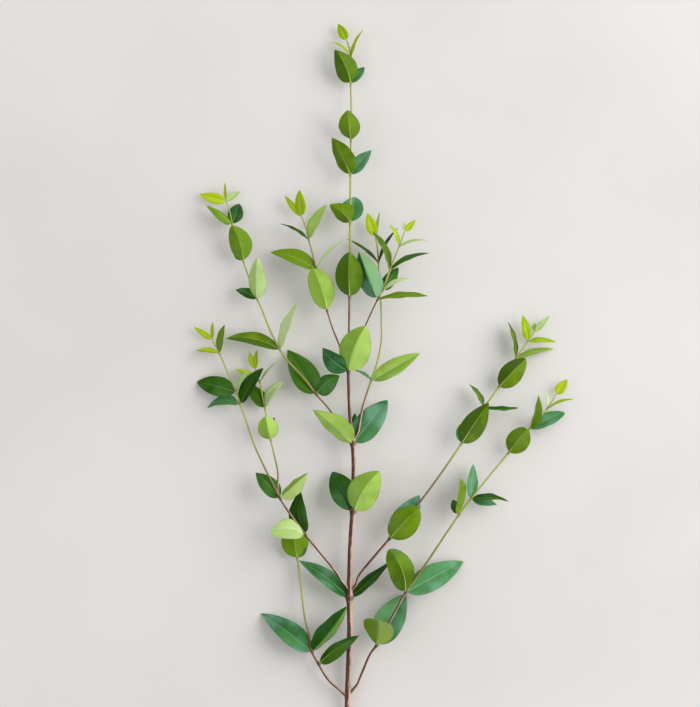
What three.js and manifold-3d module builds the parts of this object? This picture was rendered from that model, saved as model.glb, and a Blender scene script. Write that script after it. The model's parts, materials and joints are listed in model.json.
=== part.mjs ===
// A cut eucalyptus branch, lying down: one main stem, nine side shoots and their leaves in opposite pairs.
// Millimetres, +Z up. +Y runs from the cut end towards the growing tip, +X to the right of it.
// Every stem is one solid with its own end leaves grown on. Every pair of leaves is one solid too: the two
// blades share a thin collar that sits round the stem.
import * as THREE from 'three';
import { mergeVertices } from 'three/addons/utils/BufferGeometryUtils.js';
import Module from 'manifold-3d';

const wasm = await Module();
wasm.setup();

// ---- driving dimensions -------------------------------------------------------------------------------
const GAP = 0.35; // clear space between a collar and its stem
const COLLAR_WALL = 0.8;
const COLLAR_HEIGHT = 3;
const COLLAR_SIDES = 6;
const STEM_SIDES = 8;
const SHOOT_SIDES = 6;
const BLADE_THICKNESS = 0.7;
const END_OVERLAP = 0.6; // how far the end leaves start inside the stem
const PETIOLE_LENGTH = 3;
const PETIOLE_HALF_WIDTH = 0.8;
const TIP_HALF_WIDTH = 0.35;
const FOLD = 16; // degrees that each half of a blade turns about its midrib: up, or down on a leaf over its stem
const BROAD_LEAF = 12; // a leaf at least this wide has its fold modelled
const OVER_LEAN = 1.4; // how steeply a leaf over or under its stem leaves the collar
const THICK_STEM = 2; // a stem with a bigger radius at its foot gets more sides
const BARK_ROUGHNESS = 0.7;
const LEAF_ROUGHNESS = 0.55;
const STATIONS = [0, 0.1, 0.34, 0.64, 0.87, 1]; // along a blade, as fractions of it

const COLOURS = {
  dark: '#2f5a1e',
  olive: '#5f8f1c',
  teal: '#4f9a6c',
  light: '#8fbb4c',
  pale: '#bfdd95',
  lime: '#b2c81e',
  bark: '#6b4433',
};

// ---- the stems ----------------------------------------------------------------------------------------
// Each point of a stem is [x, y, z, radius]. The main stem starts at its cut end, a shoot beside its parent.
// A shoot's end leaves are listed with it, in the same words as the pairs below.
const STEMS = {
  main_stem: {
    route: [
      [-1.5, 0, 3.6, 3.6], [-2.5, 120, 7, 3.4], [-2, 190, 10, 3.5], [0, 260, 13.5, 3.2], [-0.4, 292, 16, 3.3],
      [1, 350, 19, 2.8], [3, 379, 20.5, 2.8], [4, 425, 22.5, 2.7], [3, 447, 23.5, 2.7], [0, 472, 25, 1.7],
      [-1.5, 519, 27, 1.8], [-1, 550, 28, 1.2], [-0.5, 593, 28.5, 1.25], [0.3, 640, 27.5, 1.2], [0.3, 667, 26, 1.2],
      [0.5, 715, 22.5, 1.1], [1, 750, 19, 1], [1.3, 780, 16, 0.95], [0.8, 807, 13, 0.95], [1, 834, 9.5, 0.8],
      [-2, 847, 8, 0.7], [-3.5, 851, 7.6, 0.6],
    ],
    end: [{ turn: -27, reach: 19, rise: 1, width: 10, roll: 10, colour: 'lime' }],
  },
  shoot_low_left: {
    route: [
      [-8, 195, 10.5, 1.6], [-24, 213, 13, 1.5], [-31.5, 226, 14.5, 1.5], [-38, 238, 15, 1.4], [-41.5, 256, 15, 1.2],
      [-45.4, 273, 14.5, 1.1], [-49, 302, 13, 1.1], [-53, 331, 11, 1], [-56, 346, 10, 0.8],
    ],
    end: [{ turn: -12, reach: 9, rise: 1, width: 5, roll: 0, colour: 'dark' }],
  },
  shoot_low_right: {
    route: [
      [4.5, 197, 12, 1.6], [12, 216, 15, 1.6], [20.6, 236, 18, 1.6], [27, 245, 19, 1.6], [39, 267, 20.5, 1.4],
      [56, 298, 21, 1.4], [71, 319, 20.5, 1.2], [109, 375, 18, 1.2], [121, 391, 17, 1.1], [159, 437, 13.5, 1.1],
      [180, 461, 11.5, 1], [198, 481.5, 9, 0.8], [207, 495.5, 8, 0.6],
    ],
    end: [{ turn: 36, reach: 19, rise: 1, width: 11, roll: 10, colour: 'lime' }],
  },
  shoot_2_left: {
    route: [
      [-6, 302, 18, 1.7], [-10, 312, 20, 1.6], [-17, 322, 22, 1.5], [-30, 338, 25, 1.5], [-45, 356, 26, 1.5],
      [-59, 375, 26, 1.3], [-70, 392, 25.5, 1.3], [-78, 408, 24.5, 1.1], [-88, 428, 22.5, 1.1], [-96, 446, 20.5, 1],
      [-105, 472, 17.5, 1], [-110, 486, 16, 1], [-114, 498, 14.5, 1], [-122, 516, 12, 0.9], [-131, 537, 9.5, 0.9],
      [-136, 546, 8.5, 0.7], [-138, 551, 8, 0.6],
    ],
    end: [
      { turn: -56, reach: 23, rise: 0, width: 7, roll: 20, colour: 'lime' },
      { turn: 0, reach: 18, rise: 2, width: 5, roll: 40, colour: 'lime' },
    ],
  },
  shoot_2_left_fork: {
    route: [
      [-71, 400, 20, 1.2], [-72, 417, 17.5, 1.1], [-77, 440, 15, 1], [-79.5, 450, 14, 1], [-84, 475, 12, 0.9],
      [-85.5, 482, 11.5, 0.9], [-89, 500, 10, 0.8], [-90.5, 508, 9.5, 0.8], [-95, 521, 8.5, 0.6],
    ],
    end: [
      { turn: -20, reach: 19, rise: -1, width: 8, roll: 20, colour: 'lime' },
      { turn: 4, reach: 20, rise: 3, width: 6, roll: 30, colour: 'lime' },
    ],
  },
  shoot_2_right: {
    route: [
      [6, 302, 18, 1.7], [8, 312, 20, 1.6], [13, 320, 22, 1.5], [28, 338, 24.5, 1.5], [40, 352, 25, 1.5],
      [70, 388, 24.5, 1.3], [111.5, 446.5, 21.5, 1.2], [134, 482, 17, 1.1], [149, 503, 14, 1.1],
      [166.5, 531.5, 10, 1], [178.5, 549, 7.5, 0.8], [185.7, 558.5, 6.5, 0.6],
    ],
    end: [
      { turn: 43, reach: 23, rise: 1, width: 7, roll: 15, colour: 'pale' },
      { turn: 0, reach: 9, rise: -2, width: 5, roll: 15, colour: 'lime' },
    ],
  },
  shoot_3_left: {
    route: [
      [-3, 453, 22, 1.5], [-8, 461, 20, 1.4], [-20, 480, 19, 1.3], [-34, 496, 19, 1.3], [-50, 516, 19, 1.2],
      [-63, 530, 18.5, 1.2], [-70.5, 541, 18, 1.2], [-80, 560, 17, 1.1], [-88, 580, 16, 1], [-93, 591, 15.5, 1],
      [-100, 609, 14, 0.9], [-107, 629, 12.5, 0.9], [-113, 648, 11, 0.8], [-118, 666, 10, 0.8],
      [-121, 680, 9, 0.7], [-124.5, 690, 8.5, 0.6],
    ],
    end: [
      { turn: -76, reach: 28, rise: 0, width: 12, roll: 10, colour: 'lime' },
      { turn: -3, reach: 19, rise: 2, width: 5, roll: 50, colour: 'lime' },
      { turn: 55, reach: 17, rise: -3, width: 8, roll: 30, colour: 'pale' },
    ],
  },
  shoot_3_right: {
    route: [
      [8.5, 455, 25, 1.4], [9, 462, 25.5, 1.3], [13, 484, 25.5, 1.3], [21.5, 510, 24, 1.3], [28, 530, 22, 1.1],
      [31.5, 550, 20, 1.1], [31.5, 565, 19, 1], [31, 585, 18, 1], [28.5, 615, 16, 0.9], [28.5, 628, 15.5, 0.9],
      [27, 645, 14, 0.8], [25, 654, 13, 0.7],
    ],
    end: [
      { turn: -18, reach: 25, rise: 0, width: 12, roll: 0, colour: 'lime' },
      { turn: 11, reach: 26, rise: -3, width: 5, roll: 40, colour: 'pale' },
    ],
  },
  shoot_4_left: {
    route: [
      [-6, 526, 26.5, 1.2], [-10, 543, 26, 1.1], [-17, 561, 25, 1.1], [-23, 580, 24, 1.1], [-29, 600, 22.5, 1],
      [-34, 621, 20.5, 1], [-38, 638, 18.5, 0.9], [-41.5, 651, 17, 0.9], [-45, 665, 15, 0.8], [-49, 674, 14, 0.7],
    ],
    end: [
      { turn: -38, reach: 27, rise: -2, width: 7, roll: 10, colour: 'lime' },
      { turn: -4, reach: 27, rise: 2, width: 12, roll: 20, colour: 'lime' },
    ],
  },
  shoot_4_right: {
    route: [
      [3.5, 527, 29, 1.2], [9, 545, 30.5, 1.1], [16, 565, 31, 1.1], [28, 591, 31, 1.1], [32, 599, 31, 1.1],
      [40, 620, 29.5, 1], [44.5, 632, 28, 0.9], [49.5, 644, 26.5, 0.9], [55, 659, 24, 0.7],
    ],
    end: [
      { turn: 44, reach: 16, rise: 1, width: 7, roll: 10, colour: 'lime' },
      { turn: -5, reach: 11, rise: -2, width: 5, roll: 20, colour: 'pale' },
    ],
  },
};

// ---- the leaves ---------------------------------------------------------------------------------------
// Each entry is one collar with its leaves, at the stem's route point whose y it names. For a leaf, turn is its heading
// (0 towards +Y, 90 towards +X), reach the level distance from the stem to its tip, rise how much higher the tip
// is, roll how far its right edge is raised, bow its arch along its own face and bend its curve within it.
// over says whether the leaf starts above (1), below (-1) or beside (0) the stem.
const LEAVES = {
  main_pair_1: { on: 'main_stem', y: 292, leaves: [
    { turn: -54, reach: 63.5, rise: -2, width: 21, roll: -34, over: -1, bow: 3, bend: 1, colour: 'teal' },
    { turn: 49, reach: 55, rise: -6, width: 17, roll: 50, over: -1, bow: 2, bend: 3, colour: 'dark' },
  ] },
  main_pair_2: { on: 'main_stem', y: 379, leaves: [
    { turn: -28, reach: 44, rise: -13, width: 30, roll: -14, over: -1, bow: 2, colour: 'dark' },
    { turn: 33, reach: 48, rise: 12, width: 33, roll: 2, over: 1, bow: 3, bend: -3, colour: 'light' },
  ] },
  main_trio_3: { on: 'main_stem', y: 447, leaves: [
    { turn: -50, reach: 52.5, rise: 16, width: 30, roll: 42, over: 1, bow: 3, bend: 5, colour: 'light' },
    { turn: 39, reach: 55, rise: -10, width: 29, roll: 8, over: -1, bow: 2, colour: 'teal' },
    { turn: 4, reach: 30, rise: -12, width: 11, roll: 20, over: -1, bow: 1, colour: 'dark' },
  ] },
  main_pair_4: { on: 'main_stem', y: 519, leaves: [
    { turn: 20.5, reach: 48, rise: 26, width: 34, roll: 6, over: 1, bow: 3, bend: -2, colour: 'light' },
    { turn: -48, reach: 35, rise: -12, width: 22, roll: 24, over: -1, bow: 6, colour: 'teal' },
  ] },
  main_pair_5: { on: 'main_stem', y: 593, leaves: [
    { turn: -1, reach: 44, rise: 19, width: 30, roll: 4, over: 1, bow: 3, colour: 'olive' },
    { turn: 8, reach: 34, rise: -17, width: 22, roll: 0, over: -1, bow: 2, colour: 'teal' },
  ] },
  main_pair_6: { on: 'main_stem', y: 667, leaves: [
    { turn: -49, reach: 27, rise: 17, width: 23, roll: 25, over: 1, bow: 5, bend: 5, colour: 'olive' },
    { turn: 10, reach: 27, rise: -18, width: 24, roll: 4, over: -1, bow: 3, colour: 'teal' },
  ] },
  main_pair_7: { on: 'main_stem', y: 715, leaves: [
    { turn: -27, reach: 41, rise: 10, width: 24, roll: 32, over: 1, bow: 3, bend: 3, colour: 'olive' },
    { turn: 40, reach: 33, rise: -10, width: 16, roll: 24, over: -1, bow: 2, colour: 'teal' },
  ] },
  main_pair_8: { on: 'main_stem', y: 750, leaves: [
    { turn: -7, reach: 29, rise: 20, width: 24, roll: 4, over: 1, bow: 4, colour: 'olive' },
    { turn: 14, reach: 13, rise: -13, width: 8, roll: 0, over: -1, bow: 2, colour: 'teal' },
  ] },
  main_pair_9: { on: 'main_stem', y: 807, leaves: [
    { turn: -26, reach: 37, rise: 9, width: 24, roll: -2, over: 1, bow: 3, bend: 3, colour: 'olive' },
    { turn: 39, reach: 22, rise: -12.4, width: 13, roll: 28, over: -1, bow: 2, colour: 'teal' },
  ] },
  main_pair_10: { on: 'main_stem', y: 834, leaves: [
    { turn: -54, reach: 26, rise: -3, width: 6, roll: -62, over: 0, bow: 3, colour: 'lime' },
    { turn: 25, reach: 31, rise: 1, width: 8, roll: 60, over: 0, bow: 2, colour: 'lime' },
  ] },

  low_left_leaf_0: { on: 'shoot_low_left', y: 226, leaves: [
    { turn: 54.5, reach: 50, rise: 10, width: 18, roll: 34, over: 1, bow: 4, colour: 'dark' },
  ] },
  low_left_pair_1: { on: 'shoot_low_left', y: 238, leaves: [
    { turn: -54, reach: 63.5, rise: -14.5, width: 26, roll: -20, over: -1, bow: 4, colour: 'teal' },
    { turn: 37, reach: 58, rise: 14, width: 24, roll: -38, over: 0, bow: 3, colour: 'dark' },
  ] },
  low_left_pair_2: { on: 'shoot_low_left', y: 331, leaves: [
    { turn: -8, reach: 31, rise: 5, width: 30, roll: 0, over: 1, bow: 2, colour: 'olive' },
    { turn: 14, reach: 26, rise: -7, width: 16, roll: 6, over: -1, bow: 1, colour: 'dark' },
  ] },

  low_right_pair_1: { on: 'shoot_low_right', y: 245, leaves: [
    { turn: 0, reach: 27, rise: 40, width: 33, roll: 20, over: 1, bow: -3, colour: 'olive' },
    { turn: 30, reach: 58, rise: -15, width: 33, roll: 10, over: -1, bow: 3, colour: 'teal' },
  ] },
  low_right_pair_2: { on: 'shoot_low_right', y: 298, leaves: [
    { turn: -21, reach: 47, rise: 18, width: 28, roll: -14, over: 1, bow: 4, bend: 4, colour: 'olive' },
    { turn: 63, reach: 65, rise: -20.5, width: 28, roll: 10, over: -1, bow: 4, colour: 'teal' },
  ] },
  low_right_pair_3: { on: 'shoot_low_right', y: 375, leaves: [
    { turn: 1, reach: 37, rise: 18, width: 22, roll: -62, over: 1, bow: 3, bend: 7, colour: 'olive' },
    { turn: -22, reach: 16, rise: -8, width: 11, roll: -10, over: -1, bow: 1, colour: 'dark' },
  ] },
  low_right_pair_4: { on: 'shoot_low_right', y: 391, leaves: [
    { turn: 4, reach: 35, rise: -5, width: 19, roll: -50, over: -1, bow: 1, bend: -2, colour: 'teal' },
    { turn: 94, reach: 38, rise: 5, width: 16, roll: 66, over: 0, bow: 3, colour: 'dark' },
    { turn: 103, reach: 27, rise: -9, width: 12, roll: 30, over: -1, bow: 1, colour: 'teal' },
  ] },
  low_right_pair_5: { on: 'shoot_low_right', y: 437, leaves: [
    { turn: 36, reach: 30, rise: 18, width: 25, roll: 6, over: 1, bow: 4, colour: 'olive' },
    { turn: 50, reach: 12, rise: -6, width: 10, roll: 0, over: -1, bow: 1, colour: 'teal' },
  ] },
  low_right_pair_6: { on: 'shoot_low_right', y: 461, leaves: [
    { turn: 14, reach: 35, rise: 8, width: 17, roll: 60, over: 1, bow: 2, bend: 6, colour: 'olive' },
    { turn: 66, reach: 39, rise: -7, width: 18, roll: 38, over: -1, bow: 1, colour: 'teal' },
  ] },
  low_right_pair_7: { on: 'shoot_low_right', y: 481.5, leaves: [
    { turn: 72, reach: 29, rise: 3, width: 6, roll: 62, over: 0, bow: 3, colour: 'lime' },
    { turn: -4, reach: 17, rise: 4, width: 5, roll: -55, over: 0, bow: 1, colour: 'pale' },
  ] },

  left_2_pair_1: { on: 'shoot_2_left', y: 356, leaves: [
    { turn: -86, reach: 34, rise: 9, width: 22, roll: -12, over: 1, bow: 4, bend: 5, colour: 'pale' },
    { turn: -6, reach: 44, rise: -7, width: 24, roll: 34, over: 0, bow: 2, bend: -4, colour: 'dark' },
  ] },
  left_2_pair_2: { on: 'shoot_2_left', y: 392, leaves: [
    { turn: -44, reach: 35, rise: -8, width: 20, roll: -26, over: -1, bow: 2, colour: 'dark' },
    { turn: 48, reach: 38, rise: 10, width: 22, roll: 48, over: 1, bow: 3, bend: 3, colour: 'light' },
  ] },
  left_2_pair_3: { on: 'shoot_2_left', y: 486, leaves: [
    { turn: 33, reach: 43, rise: 4, width: 22, roll: 48, over: 0, bow: 2, colour: 'dark' },
    { turn: -98, reach: 34, rise: -8, width: 16, roll: -44, over: 0, bow: 2, bend: 5, colour: 'teal' },
  ] },
  left_2_pair_4: { on: 'shoot_2_left', y: 498, leaves: [
    { turn: -76, reach: 41, rise: -14, width: 22, roll: -14, over: -1, bow: 3, colour: 'dark' },
    { turn: 32, reach: 27, rise: 6, width: 12, roll: 66, over: 0, bow: 2, colour: 'pale' },
  ] },
  left_2_pair_5: { on: 'shoot_2_left', y: 537, leaves: [
    { turn: 11, reach: 29, rise: 3, width: 12, roll: 50, over: 0, bow: 2, colour: 'olive' },
    { turn: -85, reach: 24, rise: -2, width: 9, roll: -50, over: 0, bow: 2, colour: 'lime' },
  ] },

  fork_pair_1: { on: 'shoot_2_left_fork', y: 450, leaves: [
    { turn: -11, reach: 24, rise: 15, width: 22, roll: 0, over: 1, bow: 5, colour: 'light' },
    { turn: 8, reach: 23, rise: -6, width: 10, roll: 0, over: -1, bow: 1, colour: 'dark' },
  ] },
  fork_pair_2: { on: 'shoot_2_left_fork', y: 482, leaves: [
    { turn: -32, reach: 29, rise: -7, width: 18, roll: -30, over: -1, bow: 0, colour: 'dark' },
    { turn: 36, reach: 33, rise: 1, width: 18, roll: 56, over: 0, bow: 3, bend: -2, colour: 'pale' },
  ] },
  fork_pair_3: { on: 'shoot_2_left_fork', y: 508, leaves: [
    { turn: 42, reach: 28, rise: 1, width: 5, roll: 66, over: 0, bow: 2, colour: 'light' },
    { turn: -63, reach: 28, rise: -2, width: 10, roll: -44, over: 0, bow: 2, colour: 'lime' },
  ] },

  right_2_pair_1: { on: 'shoot_2_right', y: 352, leaves: [
    { turn: 42, reach: 42, rise: 12, width: 30, roll: 6, over: 1, bow: 4, colour: 'olive' },
    { turn: 35, reach: 52, rise: -14, width: 27, roll: -6, over: -1, bow: 3, colour: 'teal' },
  ] },
  right_2_pair_2: { on: 'shoot_2_right', y: 446.5, leaves: [
    { turn: 33, reach: 49, rise: 12, width: 25, roll: 6, over: 1, bow: 4, colour: 'olive' },
    { turn: 16, reach: 26, rise: -9, width: 18, roll: 0, over: -1, bow: 1, colour: 'teal' },
  ] },
  right_2_pair_3: { on: 'shoot_2_right', y: 482, leaves: [
    { turn: -32, reach: 28, rise: -4, width: 13, roll: -64, over: 0, bow: 2, colour: 'olive' },
    { turn: 90, reach: 35, rise: -4, width: 12, roll: 68, over: 0, bow: -1, bend: 2, colour: 'dark' },
  ] },
  right_2_pair_4: { on: 'shoot_2_right', y: 503, leaves: [
    { turn: 43, reach: 39, rise: 13, width: 24, roll: 8, over: 1, bow: 4, colour: 'olive' },
    { turn: 54, reach: 20, rise: -10, width: 13, roll: 0, over: -1, bow: 0, colour: 'teal' },
  ] },
  right_2_pair_5: { on: 'shoot_2_right', y: 531.5, leaves: [
    { turn: -13, reach: 38, rise: 3, width: 14, roll: -66, over: 0, bow: 2, colour: 'olive' },
    { turn: 76, reach: 40, rise: -9.5, width: 13, roll: 62, over: 0, bow: 3, bend: 2, colour: 'light' },
  ] },
  right_2_pair_6: { on: 'shoot_2_right', y: 549, leaves: [
    { turn: -12, reach: 27, rise: 4, width: 10, roll: -20, over: 0, bow: 2, colour: 'lime' },
    { turn: 93, reach: 29, rise: 1, width: 8, roll: 40, over: 0, bow: 2, colour: 'lime' },
  ] },

  left_3_pair_1: { on: 'shoot_3_left', y: 496, leaves: [
    { turn: -33, reach: 53, rise: -14, width: 30, roll: -10, over: -1, bow: 0, colour: 'dark' },
    { turn: 52, reach: 30, rise: 5, width: 22, roll: 20, over: 1, bow: 3, bend: -2, colour: 'dark' },
  ] },
  left_3_pair_2: { on: 'shoot_3_left', y: 541, leaves: [
    { turn: -79, reach: 54.5, rise: -3, width: 20, roll: -46, over: 0, bow: 3, bend: 4, colour: 'olive' },
    { turn: 22, reach: 51, rise: 4, width: 18, roll: 56, over: 0, bow: 3, colour: 'pale' },
  ] },
  left_3_pair_3: { on: 'shoot_3_left', y: 591, leaves: [
    { turn: 1, reach: 42, rise: 12, width: 20, roll: 18, over: 1, bow: 4, colour: 'pale' },
    { turn: -67, reach: 24, rise: -6, width: 14, roll: -36, over: -1, bow: 2, colour: 'dark' },
  ] },
  left_3_pair_4: { on: 'shoot_3_left', y: 629, leaves: [
    { turn: -17, reach: 37, rise: 13, width: 24, roll: 4, over: 1, bow: 4, bend: 3, colour: 'olive' },
    { turn: -24, reach: 16, rise: -7, width: 13, roll: 0, over: -1, bow: 1, colour: 'dark' },
  ] },
  left_3_pair_5: { on: 'shoot_3_left', y: 666, leaves: [
    { turn: -54, reach: 32, rise: 6, width: 12, roll: -40, over: 1, bow: 3, bend: -1, colour: 'olive' },
    { turn: 18, reach: 22, rise: -7, width: 17, roll: 6, over: -1, bow: 0, colour: 'dark' },
  ] },

  right_3_pair_1: { on: 'shoot_3_right', y: 510, leaves: [
    { turn: 61, reach: 55.5, rise: 2, width: 20, roll: 30, over: 0, bow: 4, bend: 2, colour: 'light' },
    { turn: -61, reach: 20, rise: -6, width: 6, roll: -55, over: 0, bow: 2, colour: 'teal' },
  ] },
  right_3_pair_2: { on: 'shoot_3_right', y: 628, leaves: [
    { turn: -54, reach: 40, rise: -5, width: 12, roll: -72, over: 0, bow: 2, colour: 'dark' },
    { turn: 30, reach: 40, rise: 2, width: 9, roll: 66, over: 0, bow: 3, colour: 'dark' },
  ] },

  left_4_pair_1: { on: 'shoot_4_left', y: 580, leaves: [
    { turn: -19, reach: 43, rise: 12, width: 27, roll: -6, over: 1, bow: 4, bend: 2, colour: 'light' },
    { turn: -24, reach: 26, rise: -12, width: 16, roll: 0, over: -1, bow: 2, colour: 'dark' },
  ] },
  left_4_pair_2: { on: 'shoot_4_left', y: 621, leaves: [
    { turn: -70, reach: 49, rise: -6, width: 22, roll: -42, over: 0, bow: 3, bend: 2, colour: 'olive' },
    { turn: 45, reach: 40, rise: 3, width: 7, roll: 64, over: 0, bow: 3, colour: 'pale' },
  ] },
  left_4_pair_3: { on: 'shoot_4_left', y: 651, leaves: [
    { turn: -62, reach: 33, rise: 2, width: 9, roll: -66, over: 0, bow: 2, colour: 'dark' },
    { turn: 28, reach: 40, rise: -8, width: 17, roll: 48, over: 0, bow: 3, colour: 'light' },
  ] },

  right_4_pair_1: { on: 'shoot_4_right', y: 591, leaves: [
    { turn: -22, reach: 51, rise: 3, width: 25, roll: 12, over: 1, bow: 3, colour: 'teal' },
    { turn: 87, reach: 50, rise: 4, width: 17, roll: 68, over: 0, bow: 2, colour: 'olive' },
  ] },
  right_4_pair_2: { on: 'shoot_4_right', y: 599, leaves: [
    { turn: 35, reach: 29, rise: -10, width: 14, roll: 10, over: -1, bow: 1, colour: 'dark' },
    { turn: 68, reach: 32, rise: 9, width: 9, roll: 55, over: 0, bow: 4, colour: 'pale' },
  ] },
  right_4_pair_3: { on: 'shoot_4_right', y: 620, leaves: [
    { turn: -26, reach: 43, rise: 5, width: 17, roll: -63, over: 0, bow: 3, colour: 'olive' },
    { turn: 67, reach: 43, rise: -4, width: 14, roll: 67, over: 0, bow: 3, colour: 'dark' },
  ] },
  right_4_pair_4: { on: 'shoot_4_right', y: 644, leaves: [
    { turn: -26, reach: 24, rise: 2, width: 9, roll: -56, over: 0, bow: 2, colour: 'lime' },
    { turn: 80, reach: 29, rise: 2, width: 6, roll: 58, over: 0, bow: 3, colour: 'pale' },
  ] },
};

// ---- solids -------------------------------------------------------------------------------------------
const radians = THREE.MathUtils.degToRad;
const UP = new THREE.Vector3(0, 0, 1);

// A closed geometry as a solid that can be joined to others.
function solidOf(geometry) {
  const bare = geometry.clone();
  bare.deleteAttribute('normal');
  bare.deleteAttribute('uv');
  const merged = mergeVertices(bare, 1e-4);
  const mesh = new wasm.Mesh({
    numProp: 3,
    vertProperties: merged.attributes.position.array,
    triVerts: new Uint32Array(merged.index.array),
  });
  return new wasm.Manifold(mesh);
}

function geometryOf(solid) {
  const { numProp, numVert, vertProperties, triVerts } = solid.getMesh();
  const positions = new Float32Array(numVert * 3);
  for (let i = 0; i < numVert; i += 1) {
    positions.set(vertProperties.subarray(i * numProp, i * numProp + 3), i * 3);
  }
  const geometry = new THREE.BufferGeometry();
  geometry.setAttribute('position', new THREE.BufferAttribute(positions, 3));
  geometry.setIndex(new THREE.BufferAttribute(triVerts, 1));
  geometry.computeVertexNormals();
  return geometry;
}

// Moves every point of a geometry by a rule of its own place.
function shaped(geometry, rule) {
  const at = geometry.attributes.position;
  const point = new THREE.Vector3();
  for (let i = 0; i < at.count; i += 1) {
    point.fromBufferAttribute(at, i);
    at.setXYZ(i, ...rule(point).toArray());
  }
  return geometry;
}

// ---- stems --------------------------------------------------------------------------------------------
function curveOf(stem) {
  const points = stem.route.map(([x, y, z]) => new THREE.Vector3(x, y, z));
  return new THREE.CatmullRomCurve3(points, false, 'centripetal');
}

// The place on a stem at its route point number i: its centre, the way it grows there and its radius.
function placeOn({ curve, route }, i) {
  const t = i / (route.length - 1);
  return { centre: curve.getPoint(t), along: curve.getTangent(t), radius: route[i][3] };
}

// Two directions square to a heading: to its right, and up from it.
function squareTo(along) {
  const right = new THREE.Vector3().crossVectors(along, UP).normalize();
  const above = new THREE.Vector3().crossVectors(right, along);
  return { right, above };
}

// A closed cylinder bent along the stem's curve, with one ring at each point of the route.
function stemTube(stem) {
  const steps = stem.route.length - 1;
  const sides = stem.route[0][3] > THICK_STEM ? STEM_SIDES : SHOOT_SIDES;
  const tube = new THREE.CylinderGeometry(1, 1, steps, sides, steps);
  return shaped(tube, (point) => {
    const { centre, along, radius } = placeOn(stem, Math.round(point.y + steps / 2));
    const { right, above } = squareTo(along);
    return centre.addScaledVector(right, point.x * radius).addScaledVector(above, point.z * radius);
  });
}

// ---- leaves -------------------------------------------------------------------------------------------
// Half the width of a blade as a share of its widest, at a fraction s of its length: round base, drawn-out tip.
function bladeShare(s) {
  const [base, tip] = [0.62, 0.92];
  const widest = base / (base + tip);
  return (s ** base * (1 - s) ** tip) / (widest ** base * (1 - widest) ** tip);
}

// Where a leaf leaves the ring of radius ring, and where its tip is.
function endsOf(leaf, place, ring) {
  const heading = new THREE.Vector3(Math.sin(radians(leaf.turn)), Math.cos(radians(leaf.turn)), 0);
  const tip = place.centre.clone().addScaledVector(heading, leaf.reach).addScaledVector(UP, leaf.rise);
  const way = tip.clone().sub(place.centre).normalize();
  const outward = way.addScaledVector(place.along, -way.dot(place.along)).normalize();
  outward.addScaledVector(squareTo(place.along).above, OVER_LEAN * (leaf.over ?? 0)).normalize();
  return { base: place.centre.clone().addScaledVector(outward, ring), tip };
}

// A box that is shaped into a blade: across x, along y, through z.
function bladeSolid(leaf, { base, tip }) {
  const span = tip.clone().sub(base);
  const length = span.length();
  const { right, above } = squareTo(span.clone().normalize());
  const roll = radians(leaf.roll);
  const across = right.clone().multiplyScalar(Math.cos(roll)).addScaledVector(above, Math.sin(roll));
  const face = above.clone().multiplyScalar(Math.cos(roll)).addScaledVector(right, -Math.sin(roll));
  const broad = leaf.width >= BROAD_LEAF;
  const fold = radians(broad ? FOLD : 0) * (leaf.over > 0 ? -1 : 1);
  const stalk = PETIOLE_LENGTH / length;
  const blade = new THREE.BoxGeometry(2, STATIONS.length - 1, 1, broad ? 2 : 1, STATIONS.length - 1, 1);
  return solidOf(shaped(blade, (point) => {
    const s = STATIONS[Math.round(point.y + (STATIONS.length - 1) / 2)];
    const u = s === 0 ? 0 : stalk + (1 - stalk) * s;
    const end = s === 1 ? TIP_HALF_WIDTH : PETIOLE_HALF_WIDTH;
    const half = Math.max(end, (leaf.width / 2) * bladeShare(s));
    const arch = 4 * u * (1 - u);
    return base.clone()
      .addScaledVector(span, u)
      .addScaledVector(face, arch * (leaf.bow ?? 0) + Math.abs(point.x) * half * Math.sin(fold))
      .addScaledVector(across, arch * (leaf.bend ?? 0) + point.x * half * Math.cos(fold))
      .addScaledVector(face, point.z * BLADE_THICKNESS);
  }));
}

// The collar is a short ring round the stem, turned to the way that the stem grows.
function collarSolid(place) {
  const inner = (place.radius + GAP) / Math.cos(Math.PI / COLLAR_SIDES);
  const outer = inner + COLLAR_WALL;
  const half = COLLAR_HEIGHT / 2;
  const profile = [[inner, -half], [outer, -half], [outer, half], [inner, half], [inner, -half]];
  const ring = new THREE.LatheGeometry(profile.map(([x, y]) => new THREE.Vector2(x, y)), COLLAR_SIDES);
  ring.applyQuaternion(new THREE.Quaternion().setFromUnitVectors(new THREE.Vector3(0, 1, 0), place.along));
  ring.translate(...place.centre.toArray());
  return solidOf(ring);
}

function collarAndLeaves({ on, y, leaves }) {
  const place = placeOn(STEMS[on], STEMS[on].route.findIndex((point) => point[1] === y));
  const ring = place.radius + GAP + COLLAR_WALL;
  const blades = leaves.map((leaf) => bladeSolid(leaf, endsOf(leaf, place, ring)));
  return blades.reduce((joined, blade) => joined.add(blade), collarSolid(place));
}

function stemWithEnd(stem) {
  const place = placeOn(stem, stem.route.length - 1);
  place.centre.addScaledVector(place.along, -END_OVERLAP);
  const tube = solidOf(stemTube(stem));
  return stem.end.reduce((joined, leaf) => joined.add(bladeSolid(leaf, endsOf(leaf, place, 0))), tube);
}

// ---- the branch ---------------------------------------------------------------------------------------
const branch = new THREE.Group();

function piece(name, solid, colour, roughness) {
  const material = new THREE.MeshStandardMaterial({ color: COLOURS[colour], roughness, metalness: 0 });
  const mesh = new THREE.Mesh(geometryOf(solid), material);
  mesh.name = name;
  branch.add(mesh);
}

for (const stem of Object.values(STEMS)) stem.curve = curveOf(stem);
for (const [name, stem] of Object.entries(STEMS)) piece(name, stemWithEnd(stem), 'bark', BARK_ROUGHNESS);
for (const [name, entry] of Object.entries(LEAVES)) {
  piece(name, collarAndLeaves(entry), entry.leaves[0].colour, LEAF_ROUGHNESS);
}

// The origin is the middle of the surface that the branch lies on.
const box = new THREE.Box3().setFromObject(branch, true);
const middle = box.getCenter(new THREE.Vector3());
branch.position.set(-middle.x, -middle.y, -box.min.z);

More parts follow.
